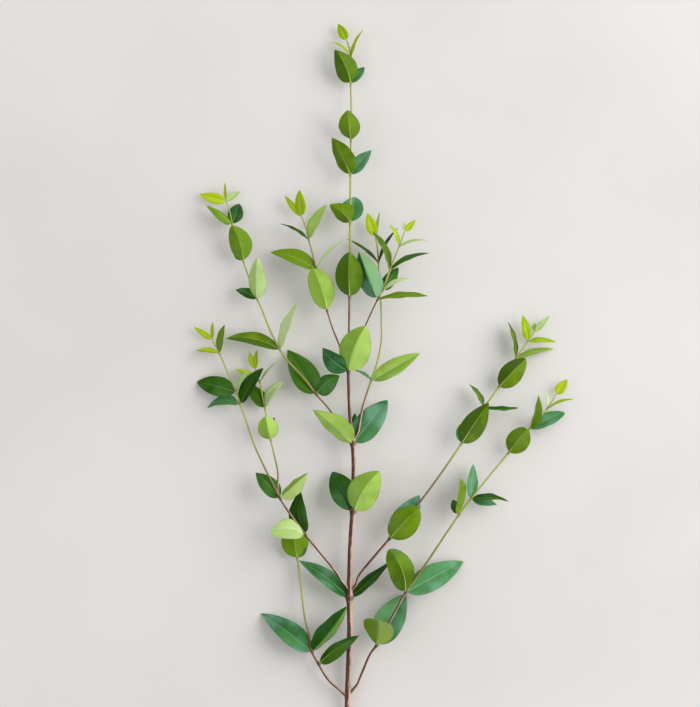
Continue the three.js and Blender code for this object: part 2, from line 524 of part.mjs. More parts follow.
export default branch;
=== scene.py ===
# %% [markdown]
# # A cut eucalyptus branch
# One branch of small-leaved eucalyptus lies on a pale floor: a woody stem, nine side shoots, and leaves that
# sit in opposite pairs. A branch could be sculpted freely, but here a plain model already fixes where every
# stem and leaf is, so each detailed piece is grown along the same lines and then stands in for its plain
# solid. Everything is in metres; the tables below are in millimetres, which suit a plant better.

import json
import math
import random

import bpy
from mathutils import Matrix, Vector

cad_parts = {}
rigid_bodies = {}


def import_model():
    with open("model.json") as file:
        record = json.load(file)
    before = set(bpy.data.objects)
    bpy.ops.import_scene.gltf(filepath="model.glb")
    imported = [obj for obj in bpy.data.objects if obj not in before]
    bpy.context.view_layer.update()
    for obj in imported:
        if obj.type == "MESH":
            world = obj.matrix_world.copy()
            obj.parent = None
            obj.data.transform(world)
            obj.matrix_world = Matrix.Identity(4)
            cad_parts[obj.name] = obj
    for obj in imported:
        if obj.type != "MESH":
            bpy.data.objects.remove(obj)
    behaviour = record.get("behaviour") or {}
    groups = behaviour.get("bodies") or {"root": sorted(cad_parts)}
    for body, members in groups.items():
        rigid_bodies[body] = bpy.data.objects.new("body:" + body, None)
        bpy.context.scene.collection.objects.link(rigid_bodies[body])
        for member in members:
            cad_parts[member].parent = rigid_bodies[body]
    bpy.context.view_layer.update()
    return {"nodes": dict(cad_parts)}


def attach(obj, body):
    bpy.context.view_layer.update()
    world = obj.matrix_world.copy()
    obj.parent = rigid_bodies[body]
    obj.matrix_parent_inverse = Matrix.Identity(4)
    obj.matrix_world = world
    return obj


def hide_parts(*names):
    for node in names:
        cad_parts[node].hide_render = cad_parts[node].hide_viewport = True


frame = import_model()
MM = 0.001

# %% [markdown]
# ## The stems
# A stem on the real branch thins in steps: each pair of leaves takes some of its sap, so it is thickest just
# below a pair and thinner above. A route of points with a radius each says that directly. x runs to the right,
# y from the cut end to the growing tip, z up from the floor. The bark turns from wood to green between the two
# heights in `wood_to_green`, and `parent` is the stem that a shoot grows out of. Each shoot closes with one or
# more small end leaves.


# %% The stems and their end leaves
def leaf(turn, reach, rise, width, roll=0, over=0, bow=0, bend=0, colour="olive", **looks):
    """turn: degrees from +y towards +x. reach, rise: from the stem to the tip. roll: about the midrib."""
    return dict(turn=turn, reach=reach, rise=rise, width=width, roll=roll, over=over, bow=bow, bend=bend,
                colour=colour, **looks)


STEMS = {
    "main_stem": dict(
        parent=None, wood_to_green=(530, 655),
        route=[
            (-1.5, 0, 3.6, 3.6), (-2.5, 120, 7, 3.4), (-2, 190, 10, 3.5), (0, 260, 13.5, 3.2),
            (-0.4, 292, 16, 3.3), (1, 350, 19, 2.8), (3, 379, 20.5, 2.8), (4, 425, 22.5, 2.7),
            (3, 447, 23.5, 2.7), (0, 472, 25, 1.7), (-1.5, 519, 27, 1.8), (-1, 550, 28, 1.2),
            (-0.5, 593, 28.5, 1.25), (0.3, 640, 27.5, 1.2), (0.3, 667, 26, 1.2), (0.5, 715, 22.5, 1.1),
            (1, 750, 19, 1), (1.3, 780, 16, 0.95), (0.8, 807, 13, 0.95), (1, 834, 9.5, 0.8),
            (-2, 847, 8, 0.7), (-3.5, 851, 7.6, 0.6),
        ],
        end=[
            leaf(turn=-27, reach=19, rise=1, width=10, roll=10, colour="lime"),
        ],
    ),
    "shoot_low_left": dict(
        parent="main_stem", wood_to_green=(205, 300),
        route=[
            (-8, 195, 10.5, 1.6), (-24, 213, 13, 1.5), (-31.5, 226, 14.5, 1.5), (-38, 238, 15, 1.4),
            (-41.5, 256, 15, 1.2), (-45.4, 273, 14.5, 1.1), (-49, 302, 13, 1.1), (-53, 331, 11, 1),
            (-56, 346, 10, 0.8),
        ],
        end=[
            leaf(turn=-12, reach=9, rise=1, width=5, roll=0, colour="dark"),
        ],
    ),
    "shoot_low_right": dict(
        parent="main_stem", wood_to_green=(235, 400),
        route=[
            (4.5, 197, 12, 1.6), (12, 216, 15, 1.6), (20.6, 236, 18, 1.6), (27, 245, 19, 1.6),
            (39, 267, 20.5, 1.4), (56, 298, 21, 1.4), (71, 319, 20.5, 1.2), (109, 375, 18, 1.2),
            (121, 391, 17, 1.1), (159, 437, 13.5, 1.1), (180, 461, 11.5, 1), (198, 481.5, 9, 0.8),
            (207, 495.5, 8, 0.6),
        ],
        end=[
            leaf(turn=36, reach=19, rise=1, width=11, roll=10, colour="lime"),
        ],
    ),
    "shoot_2_left": dict(
        parent="main_stem", wood_to_green=(330, 480),
        route=[
            (-6, 302, 18, 1.7), (-10, 312, 20, 1.6), (-17, 322, 22, 1.5), (-30, 338, 25, 1.5),
            (-45, 356, 26, 1.5), (-59, 375, 26, 1.3), (-70, 392, 25.5, 1.3), (-78, 408, 24.5, 1.1),
            (-88, 428, 22.5, 1.1), (-96, 446, 20.5, 1), (-105, 472, 17.5, 1), (-110, 486, 16, 1),
            (-114, 498, 14.5, 1), (-122, 516, 12, 0.9), (-131, 537, 9.5, 0.9), (-136, 546, 8.5, 0.7),
            (-138, 551, 8, 0.6),
        ],
        end=[
            leaf(turn=-56, reach=23, rise=0, width=7, roll=20, colour="lime"),
            leaf(turn=0, reach=18, rise=2, width=5, roll=40, colour="lime"),
        ],
    ),
    "shoot_2_left_fork": dict(
        parent="shoot_2_left", wood_to_green=(380, 450),
        route=[
            (-71, 400, 20, 1.2), (-72, 417, 17.5, 1.1), (-77, 440, 15, 1), (-79.5, 450, 14, 1),
            (-84, 475, 12, 0.9), (-85.5, 482, 11.5, 0.9), (-89, 500, 10, 0.8), (-90.5, 508, 9.5, 0.8),
            (-95, 521, 8.5, 0.6),
        ],
        end=[
            leaf(turn=-20, reach=19, rise=-1, width=8, roll=20, colour="lime"),
            leaf(turn=4, reach=20, rise=3, width=6, roll=30, colour="lime"),
        ],
    ),
    "shoot_2_right": dict(
        parent="main_stem", wood_to_green=(360, 450),
        route=[
            (6, 302, 18, 1.7), (8, 312, 20, 1.6), (13, 320, 22, 1.5), (28, 338, 24.5, 1.5),
            (40, 352, 25, 1.5), (70, 388, 24.5, 1.3), (111.5, 446.5, 21.5, 1.2), (134, 482, 17, 1.1),
            (149, 503, 14, 1.1), (166.5, 531.5, 10, 1), (178.5, 549, 7.5, 0.8),
            (185.7, 558.5, 6.5, 0.6),
        ],
        end=[
            leaf(turn=43, reach=23, rise=1, width=7, roll=15, colour="pale", tone=0.2),
            leaf(turn=0, reach=9, rise=-2, width=5, roll=15, colour="lime"),
        ],
    ),
    "shoot_3_left": dict(
        parent="main_stem", wood_to_green=(440, 560),
        route=[
            (-3, 453, 22, 1.5), (-8, 461, 20, 1.4), (-20, 480, 19, 1.3), (-34, 496, 19, 1.3),
            (-50, 516, 19, 1.2), (-63, 530, 18.5, 1.2), (-70.5, 541, 18, 1.2), (-80, 560, 17, 1.1),
            (-88, 580, 16, 1), (-93, 591, 15.5, 1), (-100, 609, 14, 0.9), (-107, 629, 12.5, 0.9),
            (-113, 648, 11, 0.8), (-118, 666, 10, 0.8), (-121, 680, 9, 0.7), (-124.5, 690, 8.5, 0.6),
        ],
        end=[
            leaf(turn=-76, reach=28, rise=0, width=12, roll=10, colour="lime"),
            leaf(turn=-3, reach=19, rise=2, width=5, roll=50, colour="lime"),
            leaf(turn=55, reach=17, rise=-3, width=8, roll=30, colour="pale"),
        ],
    ),
    "shoot_3_right": dict(
        parent="main_stem", wood_to_green=(460, 520),
        route=[
            (8.5, 455, 25, 1.4), (9, 462, 25.5, 1.3), (13, 484, 25.5, 1.3), (21.5, 510, 24, 1.3),
            (28, 530, 22, 1.1), (31.5, 550, 20, 1.1), (31.5, 565, 19, 1), (31, 585, 18, 1),
            (28.5, 615, 16, 0.9), (28.5, 628, 15.5, 0.9), (27, 645, 14, 0.8), (25, 654, 13, 0.7),
        ],
        end=[
            leaf(turn=-18, reach=25, rise=0, width=12, roll=0, colour="lime"),
            leaf(turn=11, reach=26, rise=-3, width=5, roll=40, colour="pale"),
        ],
    ),
    "shoot_4_left": dict(
        parent="main_stem", wood_to_green=(550, 680),
        route=[
            (-6, 526, 26.5, 1.2), (-10, 543, 26, 1.1), (-17, 561, 25, 1.1), (-23, 580, 24, 1.1),
            (-29, 600, 22.5, 1), (-34, 621, 20.5, 1), (-38, 638, 18.5, 0.9), (-41.5, 651, 17, 0.9),
            (-45, 665, 15, 0.8), (-49, 674, 14, 0.7),
        ],
        end=[
            leaf(turn=-38, reach=27, rise=-2, width=7, roll=10, colour="lime"),
            leaf(turn=-4, reach=27, rise=2, width=12, roll=20, colour="lime"),
        ],
    ),
    "shoot_4_right": dict(
        parent="main_stem", wood_to_green=(578, 612),
        route=[
            (3.5, 527, 29, 1.2), (9, 545, 30.5, 1.1), (16, 565, 31, 1.1), (28, 591, 31, 1.1),
            (32, 599, 31, 1.1), (40, 620, 29.5, 1), (44.5, 632, 28, 0.9), (49.5, 644, 26.5, 0.9),
            (55, 659, 24, 0.7),
        ],
        end=[
            leaf(turn=44, reach=16, rise=1, width=7, roll=10, colour="lime"),
            leaf(turn=-5, reach=11, rise=-2, width=5, roll=20, colour="pale"),
        ],
    ),
}

print("stems:", len(STEMS))

# %% [markdown]
# ## The leaves
# The leaves sit in opposite pairs; one place carries three. Each entry names its stem and the height of the
# pair, and then where each leaf's tip is, seen from the stem: its turn, its reach and its rise, and how wide,
# rolled, bowed and bent it is. Written as a table, one leaf can be corrected without touching its neighbours.

# %% The pairs of leaves
# In a row, one setting paints one half of the folded blade lighter and the other darker, as painted light and
# shade.
PAIRS = {
    "main_pair_1": dict(on="main_stem", y=292, leaves=[
        leaf(turn=-54, reach=63.5, rise=-2, width=21, roll=-34, over=-1, bow=3, bend=1, colour="teal"),
        leaf(turn=49, reach=55, rise=-6, width=17, roll=50, over=-1, bow=2, bend=3, colour="dark",
             tone=0.0),
    ]),
    "main_pair_2": dict(on="main_stem", y=379, leaves=[
        leaf(turn=-28, reach=44, rise=-13, width=30, roll=-14, over=-1, bow=2, colour="dark", point=0.8),
        leaf(turn=33, reach=48, rise=12, width=33, roll=2, over=1, bow=3, bend=-3, colour="light",
             point=0.8, tone=0.1, split=0.25),
    ]),
    "main_trio_3": dict(on="main_stem", y=447, leaves=[
        leaf(turn=-50, reach=52.5, rise=16, width=30, roll=42, over=1, bow=3, bend=5, colour="light",
             tone=0.5),
        leaf(turn=39, reach=55, rise=-10, width=29, roll=8, over=-1, bow=2, colour="teal"),
        leaf(turn=4, reach=30, rise=-21, width=11, roll=20, over=-1, bow=1, colour="dark"),
    ]),
    "main_pair_4": dict(on="main_stem", y=519, leaves=[
        leaf(turn=20.5, reach=48, rise=26, width=34, roll=6, over=1, bow=3, colour="light", tone=0.6,
             split=0.5, point=0.8, bend=-2),
        leaf(turn=-48, reach=35, rise=-12, width=22, roll=24, over=-1, bow=6, colour="teal"),
    ]),
    "main_pair_5": dict(on="main_stem", y=593, leaves=[
        leaf(turn=-1, reach=44, rise=19, width=30, roll=4, over=1, bow=3, colour="olive", split=0.3,
             point=0.72),
        leaf(turn=8, reach=34, rise=-17, width=22, roll=0, over=-1, bow=2, colour="teal"),
    ]),
    "main_pair_6": dict(on="main_stem", y=667, leaves=[
        leaf(turn=-49, reach=27, rise=17, width=23, roll=25, over=1, bow=5, colour="olive", bend=5),
        leaf(turn=10, reach=27, rise=-18, width=24, roll=4, over=-1, bow=3, colour="teal"),
    ]),
    "main_pair_7": dict(on="main_stem", y=715, leaves=[
        leaf(turn=-27, reach=41, rise=10, width=24, roll=32, over=1, bow=3, colour="olive", bend=3),
        leaf(turn=40, reach=33, rise=-10, width=16, roll=24, over=-1, bow=2, colour="teal"),
    ]),
    "main_pair_8": dict(on="main_stem", y=750, leaves=[
        leaf(turn=-7, reach=29, rise=20, width=24, roll=4, over=1, bow=4, colour="olive", point=0.85),
        leaf(turn=14, reach=13, rise=-13, width=8, roll=0, over=-1, bow=2, colour="teal"),
    ]),
    "main_pair_9": dict(on="main_stem", y=807, leaves=[
        leaf(turn=-26, reach=37, rise=9, width=24, roll=-2, over=1, bow=3, colour="olive", bend=3),
        leaf(turn=39, reach=22, rise=-12.4, width=13, roll=28, over=-1, bow=2, colour="teal"),
    ]),
    "main_pair_10": dict(on="main_stem", y=834, leaves=[
        leaf(turn=-54, reach=26, rise=-3, width=6, roll=-62, over=0, bow=3, colour="lime"),
        leaf(turn=25, reach=31, rise=1, width=8, roll=60, over=0, bow=2, colour="lime"),
    ]),
    "low_left_leaf_0": dict(on="shoot_low_left", y=226, leaves=[
        leaf(turn=54.5, reach=50, rise=10, width=18, roll=34, over=1, bow=4, colour="dark"),
    ]),
    "low_left_pair_1": dict(on="shoot_low_left", y=238, leaves=[
        leaf(turn=-54, reach=63.5, rise=-14.5, width=26, roll=-20, over=-1, bow=4, colour="teal"),
        leaf(turn=37, reach=58, rise=14, width=24, roll=-38, over=0, bow=3, colour="dark", tone=0.8,
             split=0.85, fold=-26),
    ]),
    "low_left_pair_2": dict(on="shoot_low_left", y=331, leaves=[
        leaf(turn=-8, reach=31, rise=5, width=30, roll=0, over=1, bow=2, colour="olive", point=0.5),
        leaf(turn=14, reach=26, rise=-7, width=16, roll=6, over=-1, bow=1, colour="dark"),
    ]),
    "low_right_pair_1": dict(on="shoot_low_right", y=245, leaves=[
        leaf(turn=0, reach=27, rise=40, width=33, roll=20, over=1, bow=-3, colour="olive", fold=-12,
             split=0.5, tone=1.0, point=0.5),
        leaf(turn=30, reach=58, rise=-15, width=33, roll=10, over=-1, bow=3, colour="teal", tone=0.9,
             split=-0.3),
    ]),
    "low_right_pair_2": dict(on="shoot_low_right", y=298, leaves=[
        leaf(turn=-21, reach=47, rise=18, width=28, roll=-14, over=1, bow=4, colour="olive", point=0.62,
             bend=4),
        leaf(turn=63, reach=65, rise=-20.5, width=28, roll=10, over=-1, bow=4, colour="teal"),
    ]),
    "low_right_pair_3": dict(on="shoot_low_right", y=375, leaves=[
        leaf(turn=1, reach=37, rise=18, width=22, roll=-62, over=1, bow=3, bend=7, colour="olive"),
        leaf(turn=-22, reach=16, rise=-8, width=11, roll=-10, over=-1, bow=1, colour="dark"),
    ]),
    "low_right_pair_4": dict(on="shoot_low_right", y=391, leaves=[
        leaf(turn=4, reach=35, rise=-5, width=19, roll=-50, over=-1, bow=1, colour="teal", bend=-2),
        leaf(turn=94, reach=38, rise=5, width=16, roll=66, over=0, bow=3, colour="dark"),
        leaf(turn=103, reach=27, rise=-9, width=12, roll=30, over=-1, bow=1, colour="teal"),
    ]),
    "low_right_pair_5": dict(on="shoot_low_right", y=437, leaves=[
        leaf(turn=36, reach=30, rise=18, width=25, roll=6, over=1, bow=4, colour="olive", point=0.6),
        leaf(turn=50, reach=12, rise=-6, width=10, roll=0, over=-1, bow=1, colour="teal"),
    ]),
    "low_right_pair_6": dict(on="shoot_low_right", y=461, leaves=[
        leaf(turn=14, reach=35, rise=8, width=17, roll=60, over=1, bow=2, bend=6, colour="olive", tone=0.9),
        leaf(turn=66, reach=39, rise=-7, width=18, roll=38, over=-1, bow=1, colour="teal", tone=0.9,
             point=0.65),
    ]),
    "low_right_pair_7": dict(on="shoot_low_right", y=481.5, leaves=[
        leaf(turn=72, reach=29, rise=3, width=6, roll=62, over=0, bow=3, colour="lime"),
        leaf(turn=-4, reach=17, rise=4, width=5, roll=-55, over=0, bow=1, colour="pale", tone=0.2),
    ]),
    "left_2_pair_1": dict(on="shoot_2_left", y=356, leaves=[
        leaf(turn=-86, reach=34, rise=9, width=22, roll=-12, over=1, bow=4, colour="pale", point=0.6,
             bend=5, tone=0.1),
        leaf(turn=-6, reach=44, rise=-7, width=24, roll=34, over=0, bow=2, colour="dark", bend=-4),
    ]),
    "left_2_pair_2": dict(on="shoot_2_left", y=392, leaves=[
        leaf(turn=-44, reach=35, rise=-8, width=20, roll=-26, over=-1, bow=2, colour="dark"),
        leaf(turn=48, reach=38, rise=10, width=22, roll=48, over=1, bow=3, colour="light", tone=0.6,
             split=0.8, bend=3),
    ]),
    "left_2_pair_3": dict(on="shoot_2_left", y=486, leaves=[
        leaf(turn=33, reach=43, rise=4, width=22, roll=48, over=0, bow=2, colour="dark"),
        leaf(turn=-98, reach=34, rise=-8, width=16, roll=-44, over=0, bow=2, bend=5, colour="teal"),
    ]),
    "left_2_pair_4": dict(on="shoot_2_left", y=498, leaves=[
        leaf(turn=-76, reach=41, rise=-14, width=22, roll=-14, over=-1, bow=3, colour="dark"),
        leaf(turn=32, reach=27, rise=6, width=12, roll=66, over=0, bow=2, colour="pale"),
    ]),
    "left_2_pair_5": dict(on="shoot_2_left", y=537, leaves=[
        leaf(turn=11, reach=29, rise=3, width=12, roll=50, over=0, bow=2, colour="olive"),
        leaf(turn=-85, reach=24, rise=-2, width=9, roll=-50, over=0, bow=2, colour="lime"),
    ]),
    "fork_pair_1": dict(on="shoot_2_left_fork", y=450, leaves=[
        leaf(turn=-11, reach=24, rise=15, width=22, roll=0, over=1, bow=5, colour="light", point=0.6,
             split=0.6, tone=0.3),
        leaf(turn=8, reach=23, rise=-6, width=10, roll=0, over=-1, bow=1, colour="dark"),
    ]),
    "fork_pair_2": dict(on="shoot_2_left_fork", y=482, leaves=[
        leaf(turn=-32, reach=29, rise=-7, width=18, roll=-30, over=-1, bow=0, colour="dark"),
        leaf(turn=36, reach=33, rise=1, width=18, roll=56, over=0, bow=3, colour="pale", bend=-2),
    ]),
    "fork_pair_3": dict(on="shoot_2_left_fork", y=508, leaves=[
        leaf(turn=42, reach=28, rise=1, width=5, roll=66, over=0, bow=2, colour="light"),
        leaf(turn=-63, reach=28, rise=-2, width=10, roll=-44, over=0, bow=2, colour="lime"),
    ]),
    "right_2_pair_1": dict(on="shoot_2_right", y=352, leaves=[
        leaf(turn=42, reach=42, rise=12, width=30, roll=6, over=1, bow=4, colour="olive", point=0.65),
        leaf(turn=35, reach=52, rise=-14, width=27, roll=-6, over=-1, bow=3, colour="teal"),
    ]),
    "right_2_pair_2": dict(on="shoot_2_right", y=446.5, leaves=[
        leaf(turn=33, reach=49, rise=12, width=25, roll=6, over=1, bow=4, colour="olive", point=0.9),
        leaf(turn=16, reach=26, rise=-9, width=18, roll=0, over=-1, bow=1, colour="teal"),
    ]),
    "right_2_pair_3": dict(on="shoot_2_right", y=482, leaves=[
        leaf(turn=-32, reach=28, rise=-4, width=13, roll=-64, over=0, bow=2, colour="olive", tone=0.0),
        leaf(turn=90, reach=35, rise=-4, width=12, roll=68, over=0, bow=-1, colour="dark", bend=2),
    ]),
    "right_2_pair_4": dict(on="shoot_2_right", y=503, leaves=[
        leaf(turn=43, reach=39, rise=13, width=24, roll=8, over=1, bow=4, colour="olive", split=0.65,
             point=0.75, tone=0.4),
        leaf(turn=54, reach=20, rise=-10, width=13, roll=0, over=-1, bow=0, colour="teal"),
    ]),
    "right_2_pair_5": dict(on="shoot_2_right", y=531.5, leaves=[
        leaf(turn=-13, reach=38, rise=3, width=14, roll=-66, over=0, bow=2, colour="olive", tone=0.0),
        leaf(turn=76, reach=40, rise=-9.5, width=13, roll=62, over=0, bow=3, colour="light", bend=2,
             tone=0.1),
    ]),
    "right_2_pair_6": dict(on="shoot_2_right", y=549, leaves=[
        leaf(turn=-12, reach=27, rise=4, width=10, roll=-20, over=0, bow=2, colour="lime", tone=0.2),
        leaf(turn=93, reach=29, rise=1, width=8, roll=40, over=0, bow=2, colour="lime"),
    ]),
    "left_3_pair_1": dict(on="shoot_3_left", y=496, leaves=[
        leaf(turn=-33, reach=53, rise=-14, width=30, roll=-10, over=-1, bow=0, colour="dark"),
        leaf(turn=52, reach=30, rise=5, width=22, roll=20, over=1, bow=3, bend=-2, colour="dark"),
    ]),
    "left_3_pair_2": dict(on="shoot_3_left", y=541, leaves=[
        leaf(turn=-79, reach=54.5, rise=-3, width=20, roll=-46, over=0, bow=3, bend=4, colour="olive"),
        leaf(turn=22, reach=51, rise=4, width=18, roll=56, over=0, bow=3, colour="pale"),
    ]),
    "left_3_pair_3": dict(on="shoot_3_left", y=591, leaves=[
        leaf(turn=1, reach=42, rise=12, width=20, roll=18, over=1, bow=4, colour="pale"),
        leaf(turn=-67, reach=24, rise=-6, width=14, roll=-36, over=-1, bow=2, colour="dark"),
    ]),
    "left_3_pair_4": dict(on="shoot_3_left", y=629, leaves=[
        leaf(turn=-17, reach=37, rise=13, width=24, roll=4, over=1, bow=4, colour="olive", point=0.7,
             bend=3),
        leaf(turn=-24, reach=16, rise=-7, width=13, roll=0, over=-1, bow=1, colour="dark"),
    ]),
    "left_3_pair_5": dict(on="shoot_3_left", y=666, leaves=[
        leaf(turn=-54, reach=32, rise=6, width=12, roll=-40, over=1, bow=3, colour="olive", bend=-1),
        leaf(turn=18, reach=22, rise=-7, width=17, roll=6, over=-1, bow=0, colour="dark"),
    ]),
    "right_3_pair_1": dict(on="shoot_3_right", y=510, leaves=[
        leaf(turn=61, reach=55.5, rise=2, width=20, roll=30, over=0, bow=4, bend=2, colour="light",
             split=-0.2),
        leaf(turn=-61, reach=20, rise=-6, width=6, roll=-55, over=0, bow=2, colour="teal"),
    ]),
    "right_3_pair_2": dict(on="shoot_3_right", y=628, leaves=[
        leaf(turn=-54, reach=40, rise=-5, width=12, roll=-72, over=0, bow=2, colour="dark"),
        leaf(turn=30, reach=40, rise=2, width=9, roll=66, over=0, bow=3, colour="dark"),
    ]),
    "left_4_pair_1": dict(on="shoot_4_left", y=580, leaves=[
        leaf(turn=-19, reach=43, rise=12, width=27, roll=-6, over=1, bow=4, colour="light", point=0.55,
             tone=0.0, bend=2),
        leaf(turn=-24, reach=26, rise=-12, width=16, roll=0, over=-1, bow=2, colour="dark"),
    ]),
    "left_4_pair_2": dict(on="shoot_4_left", y=621, leaves=[
        leaf(turn=-70, reach=49, rise=-6, width=22, roll=-42, over=0, bow=3, bend=2, colour="olive"),
        leaf(turn=45, reach=40, rise=3, width=7, roll=64, over=0, bow=3, colour="pale"),
    ]),
    "left_4_pair_3": dict(on="shoot_4_left", y=651, leaves=[
        leaf(turn=-62, reach=33, rise=2, width=9, roll=-66, over=0, bow=2, colour="dark"),
        leaf(turn=28, reach=40, rise=-8, width=17, roll=48, over=0, bow=3, colour="light"),
    ]),
    "right_4_pair_1": dict(on="shoot_4_right", y=591, leaves=[
        leaf(turn=-22, reach=51, rise=3, width=25, roll=12, over=1, bow=3, colour="teal", tone=0.9,
             split=0.9),
        leaf(turn=87, reach=50, rise=4, width=17, roll=68, over=0, bow=2, colour="olive"),
    ]),
    "right_4_pair_2": dict(on="shoot_4_right", y=599, leaves=[
        leaf(turn=35, reach=29, rise=-10, width=14, roll=10, over=-1, bow=1, colour="dark"),
        leaf(turn=68, reach=32, rise=9, width=9, roll=55, over=0, bow=4, colour="pale"),
    ]),
    "right_4_pair_3": dict(on="shoot_4_right", y=620, leaves=[
        leaf(turn=-26, reach=43, rise=5, width=17, roll=-63, over=0, bow=3, colour="olive"),
        leaf(turn=67, reach=43, rise=-4, width=14, roll=67, over=0, bow=3, colour="dark", tone=0.9),
    ]),
    "right_4_pair_4": dict(on="shoot_4_right", y=644, leaves=[
        leaf(turn=-26, reach=24, rise=2, width=9, roll=-56, over=0, bow=2, colour="lime"),
        leaf(turn=80, reach=29, rise=2, width=6, roll=58, over=0, bow=3, colour="pale"),
    ]),
}

print("leaves on the stems:", sum(len(pair["leaves"]) for pair in PAIRS.values()))

# %% [markdown]
# ## Lines to grow along
# Blender can round a path off by itself, but its rounding would leave the plain model's path between the
# route points. So the same centripetal curve is worked out here, in ten lines, and the detailed stem then runs
# where the plain one does. A place on a stem is its centre, the way it grows there, and its radius.


# %% Places on a stem
def curve_point(points, t):
    """The point at t, from 0 to 1, on the centripetal curve through the points."""
    at = min(max(t, 0), 1) * (len(points) - 1)
    i = min(int(at), len(points) - 2)
    p1, p2 = points[i], points[i + 1]
    p0 = points[i - 1] if i else p1 * 2 - p2
    p3 = points[i + 2] if i + 2 < len(points) else p2 * 2 - p1
    d0, d1, d2 = ((b - a).length ** 0.5 for a, b in ((p0, p1), (p1, p2), (p2, p3)))
    leave = ((p1 - p0) / d0 - (p2 - p0) / (d0 + d1) + (p2 - p1) / d1) * d1
    arrive = ((p2 - p1) / d1 - (p3 - p1) / (d1 + d2) + (p3 - p2) / d2) * d1
    w = at - i
    return (p1 + leave * w + (p2 * 3 - p1 * 3 - leave * 2 - arrive) * w**2
            + (p1 * 2 - p2 * 2 + leave + arrive) * w**3)


def place_on(stem, t):
    """Centre, growing direction and radius of a stem at t, all in the frame, in metres."""
    points = stem["points"]
    step = 1e-4
    along = (curve_point(points, min(t + step, 1)) - curve_point(points, max(t - step, 0))).normalized()
    at = min(max(t, 0), 1) * (len(points) - 1)
    i = min(int(at), len(points) - 2)
    radius = stem["route"][i][3] + (stem["route"][i + 1][3] - stem["route"][i][3]) * (at - i)
    return curve_point(points, t), along, radius * MM


def pair_place(pair):
    """The place on its stem where a pair of leaves sits."""
    stem = STEMS[pair["on"]]
    index = [point[1] for point in stem["route"]].index(pair["y"])
    return place_on(stem, index / (len(stem["route"]) - 1))


foot_corners = [v.co for v in frame["nodes"]["main_stem"].data.vertices]
foot_y = min(v.y for v in foot_corners)
foot_ring = [v for v in foot_corners if v.y < foot_y + 0.5 * MM]
foot_centre = Vector([(min(v[i] for v in foot_ring) + max(v[i] for v in foot_ring)) / 2 for i in range(3)])
ORIGIN = foot_centre - Vector(STEMS["main_stem"]["route"][0][:3]) * MM
for stem in STEMS.values():
    stem["points"] = [ORIGIN + Vector(point[:3]) * MM for point in stem["route"]]
print("the branch's own zero is at", [round(v, 4) for v in ORIGIN])

# %% [markdown]
# ## A small language for node trees
# Both the shapes and the finishes below are node trees. Wired by hand in a script, one line of algebra takes a
# dozen lines of links. So a `Value` wraps one socket and takes part in ordinary sums: writing `1 - mask * 2`
# adds the Math nodes for it. Every other node comes from one method, `Graph.node`, which sets the node's own
# settings first, because those can change which sockets it has.


# %% Values and graphs
class Value:
    """One output socket that can be used in sums."""

    def __init__(self, graph, socket):
        self.graph, self.socket = graph, socket

    def __add__(self, other):
        return self.graph.maths("ADD", self, other)

    def __mul__(self, other):
        return self.graph.maths("MULTIPLY", self, other)

    __radd__, __rmul__ = __add__, __mul__

    def __sub__(self, other):
        return self.graph.maths("SUBTRACT", self, other)

    def __rsub__(self, other):
        return self.graph.maths("SUBTRACT", other, self)

    def __truediv__(self, other):
        return self.graph.maths("DIVIDE", self, other)

    def __rtruediv__(self, other):
        return self.graph.maths("DIVIDE", other, self)

    def __pow__(self, other):
        return self.graph.maths("POWER", self, other)

    def __abs__(self):
        return self.graph.maths("ABSOLUTE", self)

    def other(self, name):
        """Another output of the node that this value came from."""
        return Value(self.graph, socket_named(self.socket.node.outputs, name))


def socket_named(sockets, name):
    """A socket by its number, its identifier or its label."""
    if isinstance(name, int):
        return sockets[name]
    usable = [s for s in sockets if s.enabled]
    known = next((s for s in usable if s.identifier == name), None)
    return known or next(s for s in usable if s.name == name)


class Graph:
    """A node tree under construction."""

    def __init__(self, tree):
        self.tree = tree

    def node(self, kind, settings=None, sockets=None, out=0):
        node = self.tree.nodes.new(kind)
        node.location.x = 180 * len(self.tree.nodes)
        for name, value in (settings or {}).items():
            if name == "stops":
                self.set_stops(node.color_ramp, value)
            else:
                setattr(node, name, value)
        for name, value in (sockets or {}).items():
            self.feed(socket_named(node.inputs, name), value)
        return Value(self, socket_named(node.outputs, out)) if node.outputs else node

    def feed(self, socket, value):
        if isinstance(value, Value):
            self.tree.links.new(value.socket, socket)
        else:
            socket.default_value = value

    def set_stops(self, ramp, stops):
        while len(ramp.elements) < len(stops):
            ramp.elements.new(1)
        for element, (position, colour) in zip(ramp.elements, stops):
            element.position, element.color = position, colour

    def maths(self, operation, *values):
        return self.node("ShaderNodeMath", {"operation": operation}, dict(enumerate(values)))

    def within(self, value, low, high):
        """0 where value is below low, 1 above high, and a soft step between them."""
        settings = {"interpolation_type": "SMOOTHSTEP"}
        return self.node("ShaderNodeMapRange", settings, {"Value": value, "From Min": low, "From Max": high})

    def clamped(self, value):
        return self.node("ShaderNodeClamp", None, {"Value": value})

    def parts(self, vector):
        x = self.node("ShaderNodeSeparateXYZ", None, {0: vector})
        return x, x.other("Y"), x.other("Z")

    def vector(self, x, y, z):
        return self.node("ShaderNodeCombineXYZ", None, {0: x, 1: y, 2: z})


print("node language ready")

# %% [markdown]
# ## Growing a shape
# Geometry Nodes make every stem and leaf: one tree says how any leaf is shaped, and each leaf hands it its own
# length, width and bend. A tree's inputs are set on a modifier by their identifiers, before the shape is first
# worked out. The result is copied to a plain mesh and the modifier is thrown away, so a finished piece needs
# nothing but its vertices.


# %% Trees with named inputs, and how they are run
SOCKETS = {float: "NodeSocketFloat", int: "NodeSocketInt", tuple: "NodeSocketVector"}


